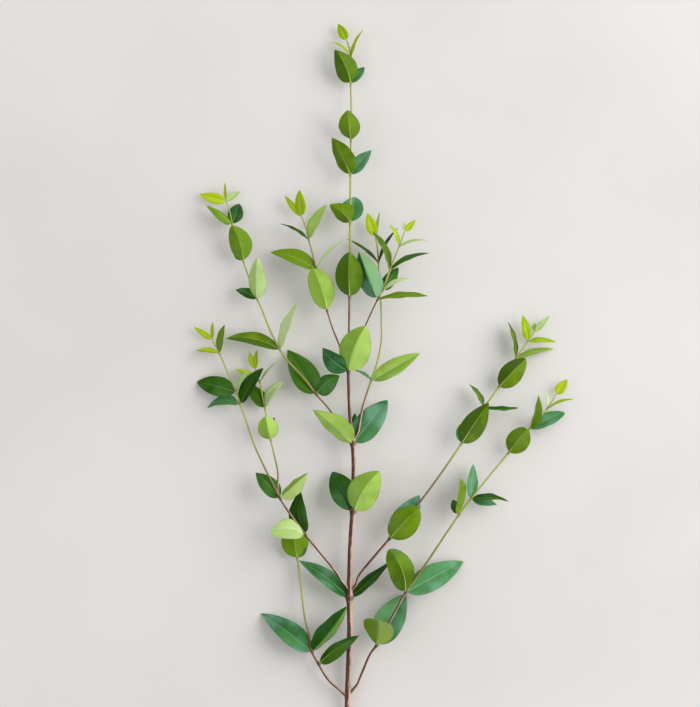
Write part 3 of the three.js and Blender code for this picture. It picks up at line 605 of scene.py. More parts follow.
class Form(Graph):
    """A Geometry Nodes tree with a geometry input and output and named sizes."""

    def __init__(self, name, **sizes):
        super().__init__(bpy.data.node_groups.new(name, "GeometryNodeTree"))
        face = self.tree.interface
        face.new_socket("Geometry", in_out="INPUT", socket_type="NodeSocketGeometry")
        face.new_socket("Geometry", in_out="OUTPUT", socket_type="NodeSocketGeometry")
        self.keys = {}
        for label, value in sizes.items():
            socket = face.new_socket(label, in_out="INPUT", socket_type=SOCKETS[type(value)])
            socket.default_value = value
            self.keys[label] = socket.identifier
        finish = face.new_socket("Material", in_out="INPUT", socket_type="NodeSocketMaterial")
        self.keys["Material"] = finish.identifier
        self.source = self.node("NodeGroupInput")
        self.result = self.tree.nodes.new("NodeGroupOutput")

    def given(self, label):
        return self.source.other(label)

    def store(self, geometry, name, value, kind="FLOAT", domain="POINT"):
        """The geometry with one more named number or vector."""
        sockets = {"Geometry": geometry, "Name": name, "Value": value}
        return self.node("GeometryNodeStoreNamedAttribute", {"data_type": kind, "domain": domain}, sockets)

    def end(self, geometry):
        """Every tree ends the same way: real geometry with one finish."""
        real = self.node("GeometryNodeRealizeInstances", None, {"Geometry": geometry})
        sockets = {"Geometry": real, "Material": self.given("Material")}
        painted = self.node("GeometryNodeSetMaterial", None, sockets)
        self.feed(self.result.inputs[0], painted)
        print("tree", self.tree.name, "has", len(self.tree.nodes), "nodes")

    def grow(self, name, source, **sizes):
        """Runs the tree on a mesh and returns the result as a plain mesh object."""
        former = bpy.data.objects.new(name + ".former", source)
        bpy.context.collection.objects.link(former)
        modifier = former.modifiers.new("grow", "NODES")
        modifier.node_group = self.tree
        for label, value in sizes.items():
            modifier[self.keys[label]] = value
        view = bpy.context.evaluated_depsgraph_get()
        grown = bpy.data.meshes.new_from_object(
            former.evaluated_get(view), preserve_all_data_layers=True, depsgraph=view
        )
        bpy.data.objects.remove(former)
        grown.name = name
        piece = bpy.data.objects.new(name, grown)
        bpy.context.collection.objects.link(piece)
        return piece


def path_mesh(name, points, edges=True, **values):
    """Points, joined in a row, with one named number or vector each for every keyword."""
    mesh = bpy.data.meshes.new(name)
    mesh.from_pydata(points, [(i, i + 1) for i in range(len(points) - 1)] if edges else [], [])
    for label, numbers in values.items():
        vectors = isinstance(numbers[0], Vector)
        layer = mesh.attributes.new(label, "FLOAT_VECTOR" if vectors else "FLOAT", "POINT")
        flat = [x for v in numbers for x in v] if vectors else numbers
        layer.data.foreach_set("vector" if vectors else "value", flat)
    return mesh


# %% [markdown]
# ## Colours
# Each colour is written as it looks on a screen, from 0 to 255, and turned into light, which is what a shader
# works in. The branch has six leaf colours: the old leaves are dark and olive, some are blue-green with bluish
# patches, partly a bloom of wax and partly a painted sheen, and the leaves get lighter and yellower towards
# every tip. Each finish has a name, and so has each pair of its deep and light shade.


# %% Colours of wood and leaf
def light_of(red, green, blue):
    """A screen colour as linear light."""
    def linear(v):
        v /= 255
        return v / 12.92 if v <= 0.04045 else ((v + 0.055) / 1.055) ** 2.4
    return (linear(red), linear(green), linear(blue), 1.0)


# The last number of each leaf colour is the strength of its bluish patches, partly a bloom of wax and partly a
# painted sheen.
LEAF_COLOURS = {
    "dark": dict(deep=(24, 72, 0), fresh=(58, 104, 8),
                 rib=(120, 156, 70), under=(88, 124, 70), wax_bloom_and_sheen=0.10),
    "olive": dict(deep=(68, 100, 0), fresh=(106, 140, 8),
                  rib=(172, 196, 96), under=(124, 150, 76), wax_bloom_and_sheen=0.04),
    "teal": dict(deep=(38, 96, 40), fresh=(76, 136, 80),
                 rib=(146, 188, 130), under=(112, 156, 118), wax_bloom_and_sheen=0.42),
    "light": dict(deep=(134, 170, 58), fresh=(170, 206, 94),
                  rib=(208, 226, 148), under=(164, 190, 112), wax_bloom_and_sheen=0.08),
    "pale": dict(deep=(170, 200, 112), fresh=(202, 226, 160),
                 rib=(224, 238, 188), under=(184, 208, 148), wax_bloom_and_sheen=0.10),
    "lime": dict(deep=(138, 170, 0), fresh=(176, 200, 22),
                 rib=(208, 222, 96), under=(166, 186, 60), wax_bloom_and_sheen=0.0),
}
BARK_STOPS = [
    (0.0, light_of(82, 48, 34)), (0.22, light_of(104, 66, 44)), (0.45, light_of(122, 98, 56)),
    (0.7, light_of(140, 142, 66)), (1.0, light_of(166, 176, 72)),
]
print("leaf colours:", ", ".join(LEAF_COLOURS))

# %% [markdown]
# ## The leaf finish
# A eucalyptus leaf is leathery and half matt. What the eye reads is its pale midrib, the faint side veins that
# run out from it at an angle, a thin dark margin, slow patches of deeper and fresher green, and bluish patches
# on some leaves, partly a bloom of wax and partly a painted sheen. One half of a folded leaf is also painted
# lighter and the other darker, as painted light and shade. An image would have to be stretched over each blade.
# Instead each blade carries its own ruler, `leaf_place`: how far across, how far along and how wide it is
# there. The veins are stripes on that ruler, so they follow the leaf however it bends.


# %% A material, and the finish of a leaf
class Finish(Graph):
    """A material's node tree, with its Principled shader."""

    def __init__(self, name):
        self.material = bpy.data.materials.new(name)
        self.material.use_nodes = True
        super().__init__(self.material.node_tree)
        self.shader = self.tree.nodes["Principled BSDF"]

    def attribute(self, name, out="Fac"):
        return self.node("ShaderNodeAttribute", {"attribute_name": name}, out=out)

    def noise(self, vector, scale, detail=2.0, roughness=0.5):
        return self.node("ShaderNodeTexNoise", None,
                         {"Vector": vector, "Scale": scale, "Detail": detail, "Roughness": roughness})

    def place(self):
        return self.node("ShaderNodeTexCoord", out="Object")

    def mix(self, factor, a, b):
        sockets = {"Factor_Float": factor, "A_Color": a, "B_Color": b}
        return self.node("ShaderNodeMix", {"data_type": "RGBA"}, sockets, "Result_Color")

    def bump(self, height, distance, strength=1.0):
        sockets = {"Height": height, "Distance": distance, "Strength": strength}
        return self.node("ShaderNodeBump", None, sockets)

    def set(self, **sockets):
        for label, value in sockets.items():
            self.feed(self.shader.inputs[label.replace("_", " ")], value)


def leaf_finish(name, deep, fresh, rib, under, wax_bloom_and_sheen):
    f = Finish("leaf_" + name)
    across, along, half = f.parts(f.attribute("leaf_place", "Vector"))
    from_rib = abs(across) * half
    patches = f.noise(f.place(), 55.0, 3.0)
    grain = f.noise(f.place(), 900.0, 2.0)
    # the tone is the leaf's own depth of green, and on the two halves of a folded blade it also carries painted
    # light and shade
    lightness = f.within(patches * 0.85 + f.attribute("tone") * 0.6, 0.38, 0.88)
    green = f.mix(lightness, light_of(*deep), light_of(*fresh))
    # side veins: stripes that lean towards the tip, 3 mm apart, and fade before the margin
    slant = (along * f.attribute("leaf_length") - from_rib * 0.9) / (3.2 * MM)
    stripes = f.maths("PINGPONG", slant + patches * 0.5, 0.5)
    # painted highlight: where the lit half of a leaf is pushed past full tone, it turns towards the pale rib
    # colour
    green = f.mix(f.within(f.attribute("tone"), 1.0, 1.7) * 0.75, green, light_of(*rib))
    veins = f.within(stripes, 0.36, 0.5) * f.within(0.96 - abs(across), 0.0, 0.5)
    veins = veins * f.within(half, 0.002, 0.006)
    green = f.mix(veins * 0.09, green, light_of(*rib))
    # the midrib shows pale for the first half of the blade and then sinks into it
    midrib = f.within(0.75 * MM - from_rib, 0.0, 0.45 * MM) * (1 - f.within(along, 0.45, 0.95))
    green = f.mix(f.clamped(midrib * 0.45 + f.attribute("rib") * (1 - f.within(along, 0.25, 0.85)) * 0.6),
                  green, light_of(*rib))
    stalk = f.attribute("rib") * (1 - f.within(along, 0.0, 0.04))
    green = f.mix(stalk * 0.7, green, light_of(132, 122, 60))
    margin = f.within(abs(across), 0.90, 0.985) * f.within(half, 0.001, 0.004)
    green = f.mix(margin * 0.35, green, light_of(*(v * 0.55 for v in deep)))
    # bluish patches, partly a bloom of wax and partly a painted sheen
    wax_and_sheen_mask = f.within(f.noise(f.place(), 38.0, 2.0), 0.42, 0.66) * wax_bloom_and_sheen
    green = f.mix(wax_and_sheen_mask, green, light_of(128, 174, 156))
    back = f.mix(f.clamped(midrib + veins * 0.3), light_of(*under), light_of(*rib))
    green = f.mix(f.attribute("under"), green, back)
    relief = grain * 0.15 - veins * 0.2 + patches * 0.9
    f.set(Base_Color=green, Roughness=0.46 + grain * 0.16 + wax_and_sheen_mask * 0.2, Normal=f.bump(relief, 0.25 * MM, 0.6))
    f.set(Specular_IOR_Level=0.10, Subsurface_Weight=0.1, Subsurface_Scale=1.2 * MM)
    f.shader.inputs["Subsurface Radius"].default_value = (0.6, 1.0, 0.15)
    return f.material


LEAF_FINISHES = {name: leaf_finish(name, **colours) for name, colours in LEAF_COLOURS.items()}
print("leaf finishes:", len(LEAF_FINISHES))

# %% [markdown]
# ## The bark finish
# The oldest wood is brown with fine lengthwise streaks and small pale pores. Higher up the bark is younger,
# olive and then yellow-green, and it is always a little browner right at a pair of leaves, where the stem has
# a ring scar. Three numbers on every stem say all this: `age`, `knot` (how far the nearest pair is) and
# `round_place` (where round and along the stem a point is, so that streaks follow a bent shoot).


# %% The finish of bark and of the cut
def bark_finish():
    f = Finish("bark")
    x, along, z = f.parts(f.attribute("round_place", "Vector"))
    streaks = f.noise(f.vector(x * 2.4, along * 90, z * 2.4), 1.0, 4.0, 0.6)
    flakes = f.noise(f.vector(x * 1.1, along * 400, z * 1.1), 1.0, 3.0, 0.6)
    patches = f.noise(f.place(), 70.0, 2.0)
    green_age = f.clamped(f.attribute("age") + (patches - 0.5) * 0.22 + (streaks - 0.5) * 0.25)
    colour = f.node("ShaderNodeValToRGB", {"stops": BARK_STOPS}, {"Fac": green_age}, "Color")
    wood = 1 - f.within(f.attribute("age"), 0.3, 0.7)
    colour = f.mix(f.within(streaks, 0.5, 0.75) * wood * 0.55, colour, light_of(168, 124, 98))
    colour = f.mix(f.within(flakes, 0.56, 0.72) * wood * 0.45, colour, light_of(56, 32, 24))
    # painted highlight: a pinkish grey in broken lengthwise patches on the side that faces the key light,
    # reaching further round on the old, thick wood near the cut end
    old = 1 - f.within(along, 0.03, 0.2)
    stout = f.within(f.attribute("thick"), 1.7 * MM, 2.6 * MM)
    highlight_reach = f.attribute("sunny") + (streaks - 0.5) * 1.5 + f.clamped(old + stout) * 0.3
    painted_highlight = f.within(highlight_reach, 0.72, 1.1)
    colour = f.mix(painted_highlight * (0.18 + wood * 0.62), colour, light_of(220, 184, 168))
    # painted shade: dark brown on the side that faces away from the key light
    shaded = f.within(0 - f.attribute("sunny"), -0.2, 0.6)
    colour = f.mix(shaded * (0.12 + wood * 0.5), colour, light_of(58, 32, 24))
    near = 1 - f.within(abs(f.attribute("knot")), 0.8 * MM, 4.0 * MM)
    colour = f.mix(near * (0.25 + 0.45 * wood), colour, light_of(74, 42, 26))
    ring = 1 - f.within(abs(f.attribute("knot") - 2.2 * MM), 0.2 * MM, 0.6 * MM)
    colour = f.mix(ring * 0.3 * wood, colour, light_of(176, 142, 112))
    relief = streaks * 0.7 + flakes * 0.4 + ring * 0.5
    f.set(Base_Color=colour, Roughness=0.5 + streaks * 0.2, Normal=f.bump(relief, 0.5 * MM, 0.7))
    f.set(Specular_IOR_Level=0.4)
    return f.material


def cut_finish(centre):
    f = Finish("cut_wood")
    away = f.node("ShaderNodeVectorMath", {"operation": "DISTANCE"}, {0: f.place(), 1: centre}, "Value")
    fibre = f.noise(f.place(), 2600.0, 3.0)
    rings = f.maths("PINGPONG", away / (0.8 * MM) + fibre * 0.5, 0.5)
    wood = f.mix(f.within(rings, 0.3, 0.5) * 0.5, light_of(206, 182, 138), light_of(166, 134, 92))
    wood = f.mix(1 - f.within(away, 0.4 * MM, 0.8 * MM), wood, light_of(120, 90, 60))
    wood = f.mix(f.within(away, 2.9 * MM, 3.3 * MM), wood, light_of(84, 56, 36))
    f.set(Base_Color=wood, Roughness=0.8 + fibre * 0.1, Normal=f.bump(fibre + rings * 0.5, 0.2 * MM, 0.6))
    return f.material


BARK = bark_finish()
CUT_WOOD = cut_finish(foot_centre)
print("bark finishes:", BARK.name, CUT_WOOD.name)

# %% [markdown]
# ## The stem's form
# A cylinder bent by a modifier would stretch its rings. Curve to Mesh sweeps a circle along the route instead
# and scales it by a number at every point, so one tree draws a 7 mm stem and a 1.2 mm twig. A little noise
# along the normals gives the bark its ridges, more on the woody part than on the green one.


# %% The stem tree
stem_form = Form("stem", Sides=16, Ridges=0.06)
circle = stem_form.node("GeometryNodeCurvePrimitiveCircle", None,
                        {"Resolution": stem_form.given("Sides"), "Radius": 1.0})
circle = stem_form.store(circle, "ring_place", stem_form.node("GeometryNodeInputPosition"), "FLOAT_VECTOR")


def named(form, name, kind="FLOAT"):
    return form.node("GeometryNodeInputNamedAttribute", {"data_type": kind}, {"Name": name}, "Attribute")


path = stem_form.node("GeometryNodeMeshToCurve", None, {"Mesh": stem_form.given("Geometry")})
bark_mesh = stem_form.node("GeometryNodeCurveToMesh", None, {
    "Curve": path, "Profile Curve": circle, "Scale": named(stem_form, "thick"), "Fill Caps": True})
ring_x, ring_y, ring_z = stem_form.parts(named(stem_form, "ring_place", "FLOAT_VECTOR"))
round_place = stem_form.vector(ring_x, named(stem_form, "along"), ring_y)
normal_x, normal_y, normal_z = stem_form.parts(stem_form.node("GeometryNodeInputNormal"))
# how squarely the bark faces the key light, up and to the right; the bark finish paints its highlight and shade
# from it
bark_mesh = stem_form.store(bark_mesh, "sunny", normal_x * 0.9 + normal_z * 0.4)
bark_mesh = stem_form.store(bark_mesh, "round_place", round_place, "FLOAT_VECTOR")
ridge_noise = stem_form.node("ShaderNodeTexNoise", None, {
    "Vector": stem_form.vector(ring_x * 1.6, named(stem_form, "along") * 110, ring_y * 1.6),
    "Scale": 1.0, "Detail": 3.0})
ridge = (ridge_noise - 0.5) * stem_form.given("Ridges") * named(stem_form, "thick") * 2
out = stem_form.node("ShaderNodeVectorMath", {"operation": "SCALE"},
                     {0: stem_form.node("GeometryNodeInputNormal"), "Scale": ridge})
bark_mesh = stem_form.node("GeometryNodeSetPosition", None, {"Geometry": bark_mesh, "Offset": out})
stem_form.end(stem_form.node("GeometryNodeSetShadeSmooth", None, {"Geometry": bark_mesh}))

# %% [markdown]
# ## Growing the stems
# Each stem is drawn every two millimetres. It swells at each pair of leaves and is slightly waisted between
# two pairs. A shoot doesn't start beside its parent, as its plain solid does, but inside it and a little lower
# down, so that it leaves the parent in a curve with a thick foot.


# %% Centre lines with their thickness, age and knots
STEP = 1.6 * MM
SLIM_STEM, SLIM_SHOOT = 0.93, 0.86  # bark radius against the plain solid's
SWELL = 0.42  # how much thicker a stem is right at a pair of leaves
ROOT_DROP = 7 * MM  # how far below its plain start a shoot leaves the parent's middle
FOOT_REACH = 16 * MM  # how far up the shoot the bend of its foot ends
FOOT_STEPS = 14


def knots_of(name):
    """The places of a stem that carry leaves or a shoot, as t."""
    route = STEMS[name]["route"]
    heights = {entry["y"] for entry in PAIRS.values() if entry["on"] == name}
    return [i / (len(route) - 1) for i, point in enumerate(route) if point[1] in heights]


def nearest_on(stem, point, drop):
    """The parent's middle beside a point, a little way down, and the way the parent grows there."""
    samples = [curve_point(stem["points"], i / 400) for i in range(401)]
    best = min(samples, key=lambda s: (s - point).length)
    centre, along, _ = place_on(stem, samples.index(best) / 400)
    return centre - along * drop, along


def foot_of(start, up, end, onward):
    """A bend that leaves `start` along `up` and arrives at `end` along `onward`."""
    pull = (end - start).length
    for i in range(FOOT_STEPS):
        u = i / FOOT_STEPS
        leaving = start * (2 * u ** 3 - 3 * u ** 2 + 1) + up * (pull * (u ** 3 - 2 * u ** 2 + u))
        arriving = end * (3 * u ** 2 - 2 * u ** 3) + onward * (pull * (u ** 3 - u ** 2))
        yield leaving + arriving, 1.3 - 0.3 * u


def centre_line(name):
    stem = STEMS[name]
    length = sum((a - b).length for a, b in zip(stem["points"], stem["points"][1:]))
    steps = int(length / STEP)
    places = [place_on(stem, i / steps) for i in range(steps + 1)]
    knots = [place_on(stem, t)[0] for t in knots_of(name)]
    line = []
    if stem["parent"]:
        root, up = nearest_on(STEMS[stem["parent"]], places[0][0], ROOT_DROP)
        places = places[int(FOOT_REACH / STEP):]
        end, onward, radius = places[0]
        line += [(point, radius * flare) for point, flare in foot_of(root, up, end, onward)]
    line += [(centre, radius) for centre, along, radius in places]
    low, high = stem["wood_to_green"]
    slim = SLIM_SHOOT if stem["parent"] else SLIM_STEM
    travelled, last, rows = 0.0, line[0][0], []
    for centre, radius in line:
        travelled += (centre - last).length
        last = centre
        knot = min(((centre - k).length * (1 if centre.y > k.y else -1) for k in knots), key=abs, default=1.0)
        swell = 1 + SWELL * math.exp(-((knot / (0.6 * radius + 1.1 * MM)) ** 2))
        y = (centre.y - ORIGIN.y) / MM
        age = min(max((y - low) / (high - low), 0), 1)
        rows.append((centre, radius * slim * swell, travelled, age, knot))
    return rows


def stem_piece(name):
    rows = centre_line(name)
    points, thick, along, age, knot = (list(column) for column in zip(*rows))
    source = path_mesh(name + ".path", points, thick=thick, along=along, age=age, knot=knot)
    sides = 20 if name == "main_stem" else 12
    piece = stem_form.grow(name + "_wood", source, Sides=sides, Ridges=0.10, Material=BARK)
    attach(piece, "root")
    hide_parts(name)
    return piece


stems = {name: stem_piece(name) for name in STEMS}
print("stems:", {name: len(piece.data.vertices) for name, piece in stems.items()})

# %% [markdown]
# The cut end is the one flat face of the main stem. It keeps its own finish: pale wood with a dark pith.

# %% The cut end
main = stems["main_stem"].data
main.materials.append(CUT_WOOD)
cut_faces = [p for p in main.polygons if p.normal.y < -0.9 and p.center.y < foot_centre.y + 1 * MM]
for face in cut_faces:
    face.material_index = len(main.materials) - 1
    face.use_smooth = False
print("cut faces:", len(cut_faces))

# %% [markdown]
# ## The leaf's form
# A leaf could be modelled once and copied, but then all would bend alike. This tree builds a leaf from a flat
# grid by rule. Half its width follows a curve with a round base and a drawn-out tip; the blade is folded along
# the midrib, its margins ripple, and its midline bows and bends. A second sheet a fraction of a millimetre
# below makes the underside, and the two meet at the margin. The stalk and the midrib are one tapered tube,
# swept along the same midline, that starts inside the stem.

# %% The leaf tree
leaf_form = Form("leaf", Length=0.05, Width=0.024, Stalk=0.06, Fold=0.35, Bow=0.0, Bend=0.0, Twist=0.0,
                 Ripple=0.05, Phase=0.0, Curl=0.1, Thickness=0.0005, Rib=0.0008, Point=0.9,
                 Foot=(0.0, 0.0, 0.0), Tone=0.5, Split=0.0)
g = leaf_form
foot = g.parts(g.given("Foot"))
ROUND_BASE = 0.54  # the lower, the rounder; the input Point does the same for the tip
ROWS, COLUMNS = 41, 17
WELD = 0.000001  # vertices nearer than this become one


def midline(t, s):
    """The leaf's midline: t runs from 0 to 1 along the stalk, s along the blade."""
    u = g.given("Stalk") + (1 - g.given("Stalk")) * s
    arch = 4 * u * (1 - u)
    out_of_stem = (1 - t) ** 2
    run = (arch * g.given("Bend"), u * g.given("Length"), arch * g.given("Bow"))
    return [foot[i] * out_of_stem + run[i] * (t**2) for i in range(3)]


grid = g.node("GeometryNodeMeshGrid", None,
              {"Size X": 2.0, "Size Y": 1.0, "Vertices X": COLUMNS, "Vertices Y": ROWS})
grid_x, grid_y, _ = g.parts(g.node("GeometryNodeInputPosition"))
s = (1 - g.maths("COSINE", (grid_y + 0.5) * math.pi)) * 0.5
point = g.given("Point")
widest = ROUND_BASE / (point + ROUND_BASE)
outline = (s**ROUND_BASE) * (g.maths("MAXIMUM", 1 - s, 0.0) ** point)
half = g.given("Width") * 0.5 * outline / ((widest**ROUND_BASE) * ((1 - widest) ** point))
wide = abs(grid_x)
ripple = g.maths("SINE", s * 15 + g.given("Phase") + grid_x * 1.4) * g.given("Ripple") * half * wide * wide
valley = half * wide * g.maths("SINE", g.given("Fold")) * (1.25 - wide * 0.45)
lift = valley + ripple - half * (wide**3) * g.given("Curl")
spread = half * grid_x * g.maths("COSINE", g.given("Fold"))
turn = g.given("Twist") * (s - 0.3)
side_x = spread * g.maths("COSINE", turn) - lift * g.maths("SINE", turn)
side_z = spread * g.maths("SINE", turn) + lift * g.maths("COSINE", turn)
mid_x, mid_y, mid_z = midline(1.0, s)
thick = g.given("Thickness") * 0.5 * (1 - wide**4) * g.clamped(s * 12) * g.clamped((1 - s) * 12)

place = g.vector(grid_x, s, half)
sheets = []
for side, under in ((1, 0.0), (-1, 1.0)):
    sheet = g.store(grid, "leaf_place", place, "FLOAT_VECTOR")
    sheet = g.store(sheet, "under", under, domain="FACE")
    spot = g.vector(mid_x + side_x, mid_y, mid_z + side_z + thick * side)
    sheet = g.node("GeometryNodeSetPosition", None, {"Geometry": sheet, "Position": spot})
    sheets.append(sheet if side > 0 else g.node("GeometryNodeFlipFaces", None, {"Mesh": sheet}))

# %% The stalk and midrib of the leaf tree
line = g.node("GeometryNodeCurvePrimitiveLine", None, {"Start": (0.0, 0.0, 0.0), "End": (0.0, 1.0, 0.0)})
line = g.node("GeometryNodeResampleCurve", None, {"Curve": line, "Count": 34})
share = g.node("GeometryNodeSplineParameter", out="Factor")
STALK_SHARE = 0.22
t = g.clamped(share / STALK_SHARE)
s_rib = g.clamped((share - STALK_SHARE) / (1 - STALK_SHARE))
rib_x, rib_y, rib_z = midline(t, s_rib)
rib_radius = g.given("Rib") * (0.16 + 0.84 * (1 - s_rib) ** 1.7) * (1 + 0.5 * (1 - t) ** 3)
line = g.store(line, "leaf_place", g.vector(0.0, s_rib, 0.0), "FLOAT_VECTOR")
line = g.store(line, "rib", 1.0)
line = g.store(line, "rib_radius", rib_radius)
sunk = g.vector(rib_x, rib_y, rib_z - rib_radius * 0.35 * t)
line = g.node("GeometryNodeSetPosition", None, {"Geometry": line, "Position": sunk})
rib_profile = g.node("GeometryNodeCurvePrimitiveCircle", None, {"Resolution": 8, "Radius": 1.0})
rib = g.node("GeometryNodeCurveToMesh", None, {
    "Curve": line, "Profile Curve": rib_profile, "Scale": named(g, "rib_radius"), "Fill Caps": True})

blade = g.node("GeometryNodeJoinGeometry", None, {"Geometry": sheets[0]})
g.feed(blade.socket.node.inputs[0], sheets[1])
blade = g.node("GeometryNodeMergeByDistance", None, {"Geometry": blade, "Distance": WELD})
whole = g.node("GeometryNodeJoinGeometry", None, {"Geometry": blade})
g.feed(whole.socket.node.inputs[0], rib)
# painted light and shade: the tone is raised on one half of the blade and lowered on the other, by a set amount
# for each leaf
which_half = g.parts(named(g, "leaf_place", "FLOAT_VECTOR"))[0]
tone = g.given("Tone") + g.given("Split") * g.maths("SIGN", g.maths("SNAP", which_half, 0.02))
for label, value in (("tone", tone), ("leaf_length", g.given("Length"))):
    whole = g.store(whole, label, value)
g.end(g.node("GeometryNodeSetShadeSmooth", None, {"Geometry": whole}))

# %% [markdown]
# ## Where each leaf sits
# A leaf leaves its stem square to it and reaches for its tip. Its own frame has y along the leaf, x across it
# and z out of its face, turned about the midrib by its roll. The tree's result is laid in that frame by moving
# its vertices, so that the finished object stays at the origin, unturned.


# %% Leaf frames
END_START = 0.6 * MM  # how far below a stem's end its closing leaves begin
END_STALK_DROP = 1.2 * MM  # and how much lower their stalks start
PLAIN_STALK = 1.2 * MM
OVER_BASE, UNDER_BASE = 1.2, 0.7  # where a blade starts, in stem radii, over the stem and beside it
STALK_DEPTH = 0.3  # where its stalk starts, inside the stem
OVER_LEAN = 1.4  # how strongly a leaf over or under its stem leans that way
SHARP_ANGLE = math.radians(60)
UP = Vector((0, 0, 1))


def square_to(along):
    right = along.cross(UP).normalized()
    return right, right.cross(along)


def leaf_frame(entry, place, on_side):
    """Base, tip, the three directions of a leaf and the point inside the stem where its stalk starts."""
    centre, along, radius = place
    turn = math.radians(entry["turn"])
    heading = Vector((math.sin(turn), math.cos(turn), 0))
    tip = centre + heading * entry["reach"] * MM + UP * entry["rise"] * MM
    way = (tip - centre).normalized()
    outward = (way - along * way.dot(along)).normalized()
    outward = (outward + square_to(along)[1] * OVER_LEAN * entry["over"]).normalized()
    base, start = centre, centre - along * END_STALK_DROP
    if on_side:
        base = centre + outward * (radius * (OVER_BASE if entry["over"] > 0 else UNDER_BASE))
        start = centre + outward * radius * STALK_DEPTH
    span = (tip - base).normalized()
    right, above = square_to(span)
    roll = math.radians(entry["roll"])
    across = right * math.cos(roll) + above * math.sin(roll)
    face = above * math.cos(roll) - right * math.sin(roll)
    return base, tip, across, span, face, start


def leaf_piece(name, entry, place, on_side, node, number):
    base, tip, across, span, face, start = leaf_frame(entry, place, on_side)
    length = (tip - base).length
    rng = random.Random(number)
    inner = start - base
    looks = dict(
        Length=length, Width=entry["width"] * MM, Stalk=PLAIN_STALK / length,
        Fold=math.radians(entry.get("fold", rng.uniform(17, 27) * (-1 if entry["over"] > 0 else 1))),
        Bow=entry["bow"] * MM, Bend=entry["bend"] * MM, Twist=entry.get("twist", rng.uniform(-0.25, 0.25)),
        Ripple=rng.uniform(0.02, 0.07), Phase=rng.uniform(0, 6.28), Curl=rng.uniform(0.0, 0.16),
        # the next line also sets the painted light and shade, how much lighter one half of the blade is than
        # the other
        Split=entry.get("split", rng.uniform(-0.1, 0.25)), Point=entry.get("point", rng.uniform(0.82, 1.0)),
        Thickness=0.5 * MM, Rib=min(max(length * 0.014, 0.28 * MM), 0.62 * MM),
        Foot=(inner.dot(across), inner.dot(span), inner.dot(face)), Tone=entry.get("tone", rng.random()),
    )
    seed = bpy.data.meshes.new(name + ".seed")
    piece = leaf_form.grow(name, seed, Material=LEAF_FINISHES[entry["colour"]], **looks)
    for vertex in piece.data.vertices:
        x, y, z = vertex.co
        vertex.co = base + across * x + span * y + face * z
    piece.data.set_sharp_from_angle(angle=SHARP_ANGLE)
    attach(piece, "root")
    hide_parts(node)
    "leaf_" + entry["colour"]
    return piece


# %% All the leaves
leaves = []
for name, pair in PAIRS.items():
    place = pair_place(pair)
    for i, entry in enumerate(pair["leaves"]):
        leaves.append(leaf_piece(f"{name}_leaf_{i + 1}", entry, place, True, name, len(leaves)))
for name, stem in STEMS.items():
    centre, along, radius = place_on(stem, 1)
    place = (centre - along * END_START, along, radius)
    for i, entry in enumerate(stem["end"]):
        leaves.append(leaf_piece(f"{name}_tip_leaf_{i + 1}", entry, place, False, name, len(leaves)))
print("leaves:", len(leaves), "with", sum(len(piece.data.polygons) for piece in leaves), "faces")

# %% [markdown]
# ## Buds
# In the angle above each leaf stalk sits a small bud, a blunt brown-green grain of 1 to 2 mm. There are about
# a hundred, all alike but for size and lean, which is what instancing is for: one grain on each of a cloud of
# points that carry an aim and a size.

# %% The bud tree
bud_form = Form("buds", Slimness=0.55)
grain = bud_form.node("GeometryNodeMeshIcoSphere", None, {"Radius": 1.0, "Subdivisions": 2}, "Mesh")
slim = bud_form.vector(bud_form.given("Slimness"), bud_form.given("Slimness"), 1.0)
grain = bud_form.node("GeometryNodeTransform", None, {"Geometry": grain, "Scale": slim})
aim = bud_form.node("FunctionNodeAlignRotationToVector", {"axis": "Z"},
                    {"Vector": named(bud_form, "aim", "FLOAT_VECTOR")}, "Rotation")
buds = bud_form.node("GeometryNodeInstanceOnPoints", None, {
    "Points": bud_form.given("Geometry"), "Instance": grain, "Rotation": aim,
    "Scale": named(bud_form, "size")})
real_buds = bud_form.node("GeometryNodeRealizeInstances", None, {"Geometry": buds})
bud_form.end(bud_form.node("GeometryNodeSetShadeSmooth", None, {"Geometry": real_buds}))


# %% One cloud of buds for each stem
def bud_piece(stem_name):
    rng = random.Random(stem_name)
    points, aims, sizes = [], [], []
    for pair in (p for p in PAIRS.values() if p["on"] == stem_name):
        place = pair_place(pair)
        centre, along, radius = place
        for entry in pair["leaves"]:
            outward = (leaf_frame(entry, place, True)[0] - centre).normalized()
            points.append(centre + outward * radius * 1.15 + along * (radius * 0.6 + 0.9 * MM))
            aims.append((along + outward * rng.uniform(0.4, 0.8)).normalized())
            sizes.append(rng.uniform(0.8, 1.2) * (0.55 * MM + radius * 0.3))
    cloud = path_mesh(stem_name + ".buds", points, edges=False, aim=aims, size=sizes)
    piece = bud_form.grow(stem_name + "_buds", cloud, Slimness=0.55, Material=BUD)
    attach(piece, "root")
    return piece


def bud_finish():
    f = Finish("bud_scale")
    mottle = f.noise(f.place(), 700.0, 3.0)
    f.set(Base_Color=f.mix(f.within(mottle, 0.35, 0.65), light_of(96, 70, 36), light_of(126, 128, 54)),
          Roughness=0.5 + mottle * 0.15, Normal=f.bump(mottle, 0.15 * MM, 0.6))
    return f.material


BUD = bud_finish()
bud_pieces = [bud_piece(name) for name in STEMS]
print("buds on", len(bud_pieces), "stems")

# %% [markdown]
# ## Pores
# Young wood breathes through lenticels, small pale slits that stand a hair above the bark. They are scattered
# over the surface of the main stem by density, thick on the old wood and absent on the green part, so the
# points come from the mesh itself and its own age thins them out.

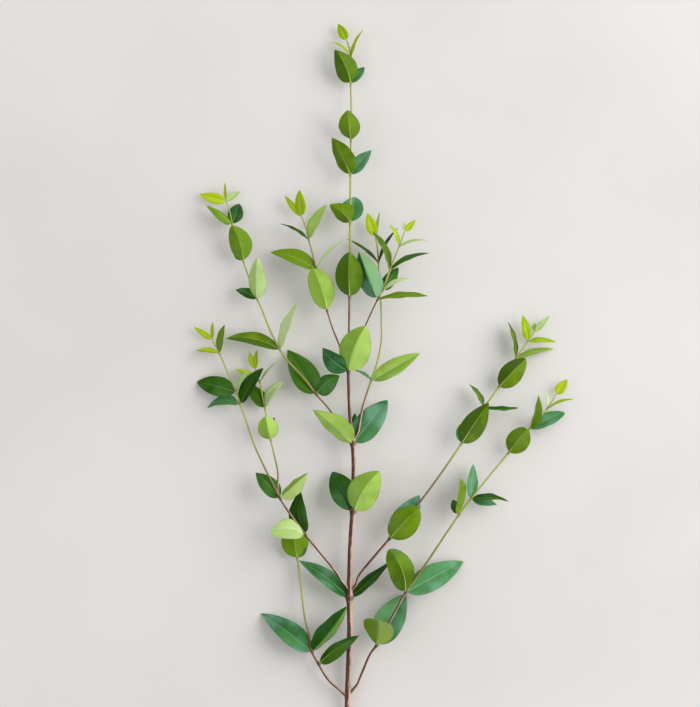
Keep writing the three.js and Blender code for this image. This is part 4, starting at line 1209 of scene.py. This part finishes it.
# %% The pore tree and the main stem's pores
pore_form = Form("pores", Density=9000.0, Size=0.00045)
thinning = 1 - pore_form.clamped(named(pore_form, "age") * 2)
spots = pore_form.node("GeometryNodeDistributePointsOnFaces", None, {
    "Mesh": pore_form.given("Geometry"), "Density": pore_form.given("Density") * thinning, "Seed": 7},
    "Points")
speck = pore_form.node("GeometryNodeMeshIcoSphere", None,
                       {"Radius": pore_form.given("Size"), "Subdivisions": 1}, "Mesh")
speck = pore_form.node("GeometryNodeTransform", None, {"Geometry": speck, "Scale": (1.5, 0.7, 0.35)})
some = pore_form.node("FunctionNodeRandomValue", {"data_type": "FLOAT"},
                      {"Min_001": 0.5, "Max_001": 1.2, "Seed": 3}, "Value_001")
specks = pore_form.node("GeometryNodeInstanceOnPoints", None, {
    "Points": spots, "Instance": speck, "Rotation": spots.other("Rotation"), "Scale": some})
pore_form.end(specks)


def pore_finish():
    f = Finish("pore_cork")
    fleck = f.noise(f.place(), 1500.0, 2.0)
    f.set(Base_Color=f.mix(fleck, light_of(150, 118, 92), light_of(184, 156, 128)),
          Roughness=0.75 + fleck * 0.1)
    return f.material


pores = pore_form.grow("main_stem_pores", stems["main_stem"].data, Density=9000.0, Size=0.45 * MM,
                       Material=pore_finish())
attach(pores, "root")
print("pore faces:", len(pores.data.polygons))

# %% [markdown]
# ## Floor, light and camera
# The branch can't stand without a vase, so it lies on a plain pale floor and the camera looks straight down.
# One large soft light from the upper right makes one half of each folded leaf bright and the other deep,
# together with painted light and shade in the leaf colours and a painted highlight and shade on the bark; a
# weak one from the left keeps the shadows open. The long lens is far away, so the outline is almost flat.


# %% The floor
def floor_finish():
    f = Finish("pale_plaster")
    cloud = f.noise(f.place(), 3.0, 3.0, 0.5)
    fleck = f.noise(f.place(), 60.0, 3.0)
    tint = f.mix(f.within(cloud, 0.35, 0.7), light_of(222, 219, 217), light_of(216, 212, 209))
    f.set(Base_Color=tint, Roughness=0.85 + fleck * 0.1, Normal=f.bump(fleck, 0.3 * MM, 0.2))
    return f.material


floor_mesh = bpy.data.meshes.new("floor")
FLOOR_HALF = 20
floor_corners = [(x * FLOOR_HALF, y * FLOOR_HALF, 0) for x, y in ((-1, -1), (1, -1), (1, 1), (-1, 1))]
floor_mesh.from_pydata(floor_corners, [], [(0, 1, 2, 3)])
floor_mesh.materials.append(floor_finish())
floor = bpy.data.objects.new("floor", floor_mesh)
bpy.context.collection.objects.link(floor)


# %% The lights
def area_light(name, place, aim, size, watts, colour=(1, 1, 1)):
    lamp = bpy.data.lights.new(name, "AREA")
    lamp.shape, lamp.size, lamp.energy, lamp.color = "DISK", size, watts, colour
    holder = bpy.data.objects.new(name, lamp)
    holder.location = place
    holder.rotation_euler = (Vector(aim) - Vector(place)).to_track_quat("-Z", "Y").to_euler()
    bpy.context.collection.objects.link(holder)


area_light("key", (2.8, 0.9, 2.0), (0, 0.1, 0), 3.8, 132, (1.0, 0.99, 0.975))
area_light("fill", (-2.2, -0.6, 2.4), (0, 0.1, 0), 2.4, 10, (0.96, 0.98, 1.0))
world = bpy.data.worlds.new("studio")
world.use_nodes = True
world.node_tree.nodes["Background"].inputs["Color"].default_value = (0.92, 0.92, 0.93, 1)
world.node_tree.nodes["Background"].inputs["Strength"].default_value = 0.62
bpy.context.scene.world = world
bpy.context.scene.view_settings.view_transform = "Standard"

# %% The camera
VIEW_CENTRE = ORIGIN + Vector((0, 536.5, 20)) * MM
VIEW_HEIGHT = 707 * MM  # how much of the branch's length is in view
DISTANCE = 4.0
camera_data = bpy.data.cameras.new("camera")
camera_data.sensor_fit = "VERTICAL"
camera_data.sensor_height = 36
camera_data.sensor_width = 36
camera_data.lens = 36 * DISTANCE / VIEW_HEIGHT
camera_data.clip_end = 50
camera = bpy.data.objects.new("camera", camera_data)
camera.location = VIEW_CENTRE + UP * DISTANCE
bpy.context.collection.objects.link(camera)
bpy.context.scene.camera = camera
print("lens:", round(camera_data.lens, 1), "mm")
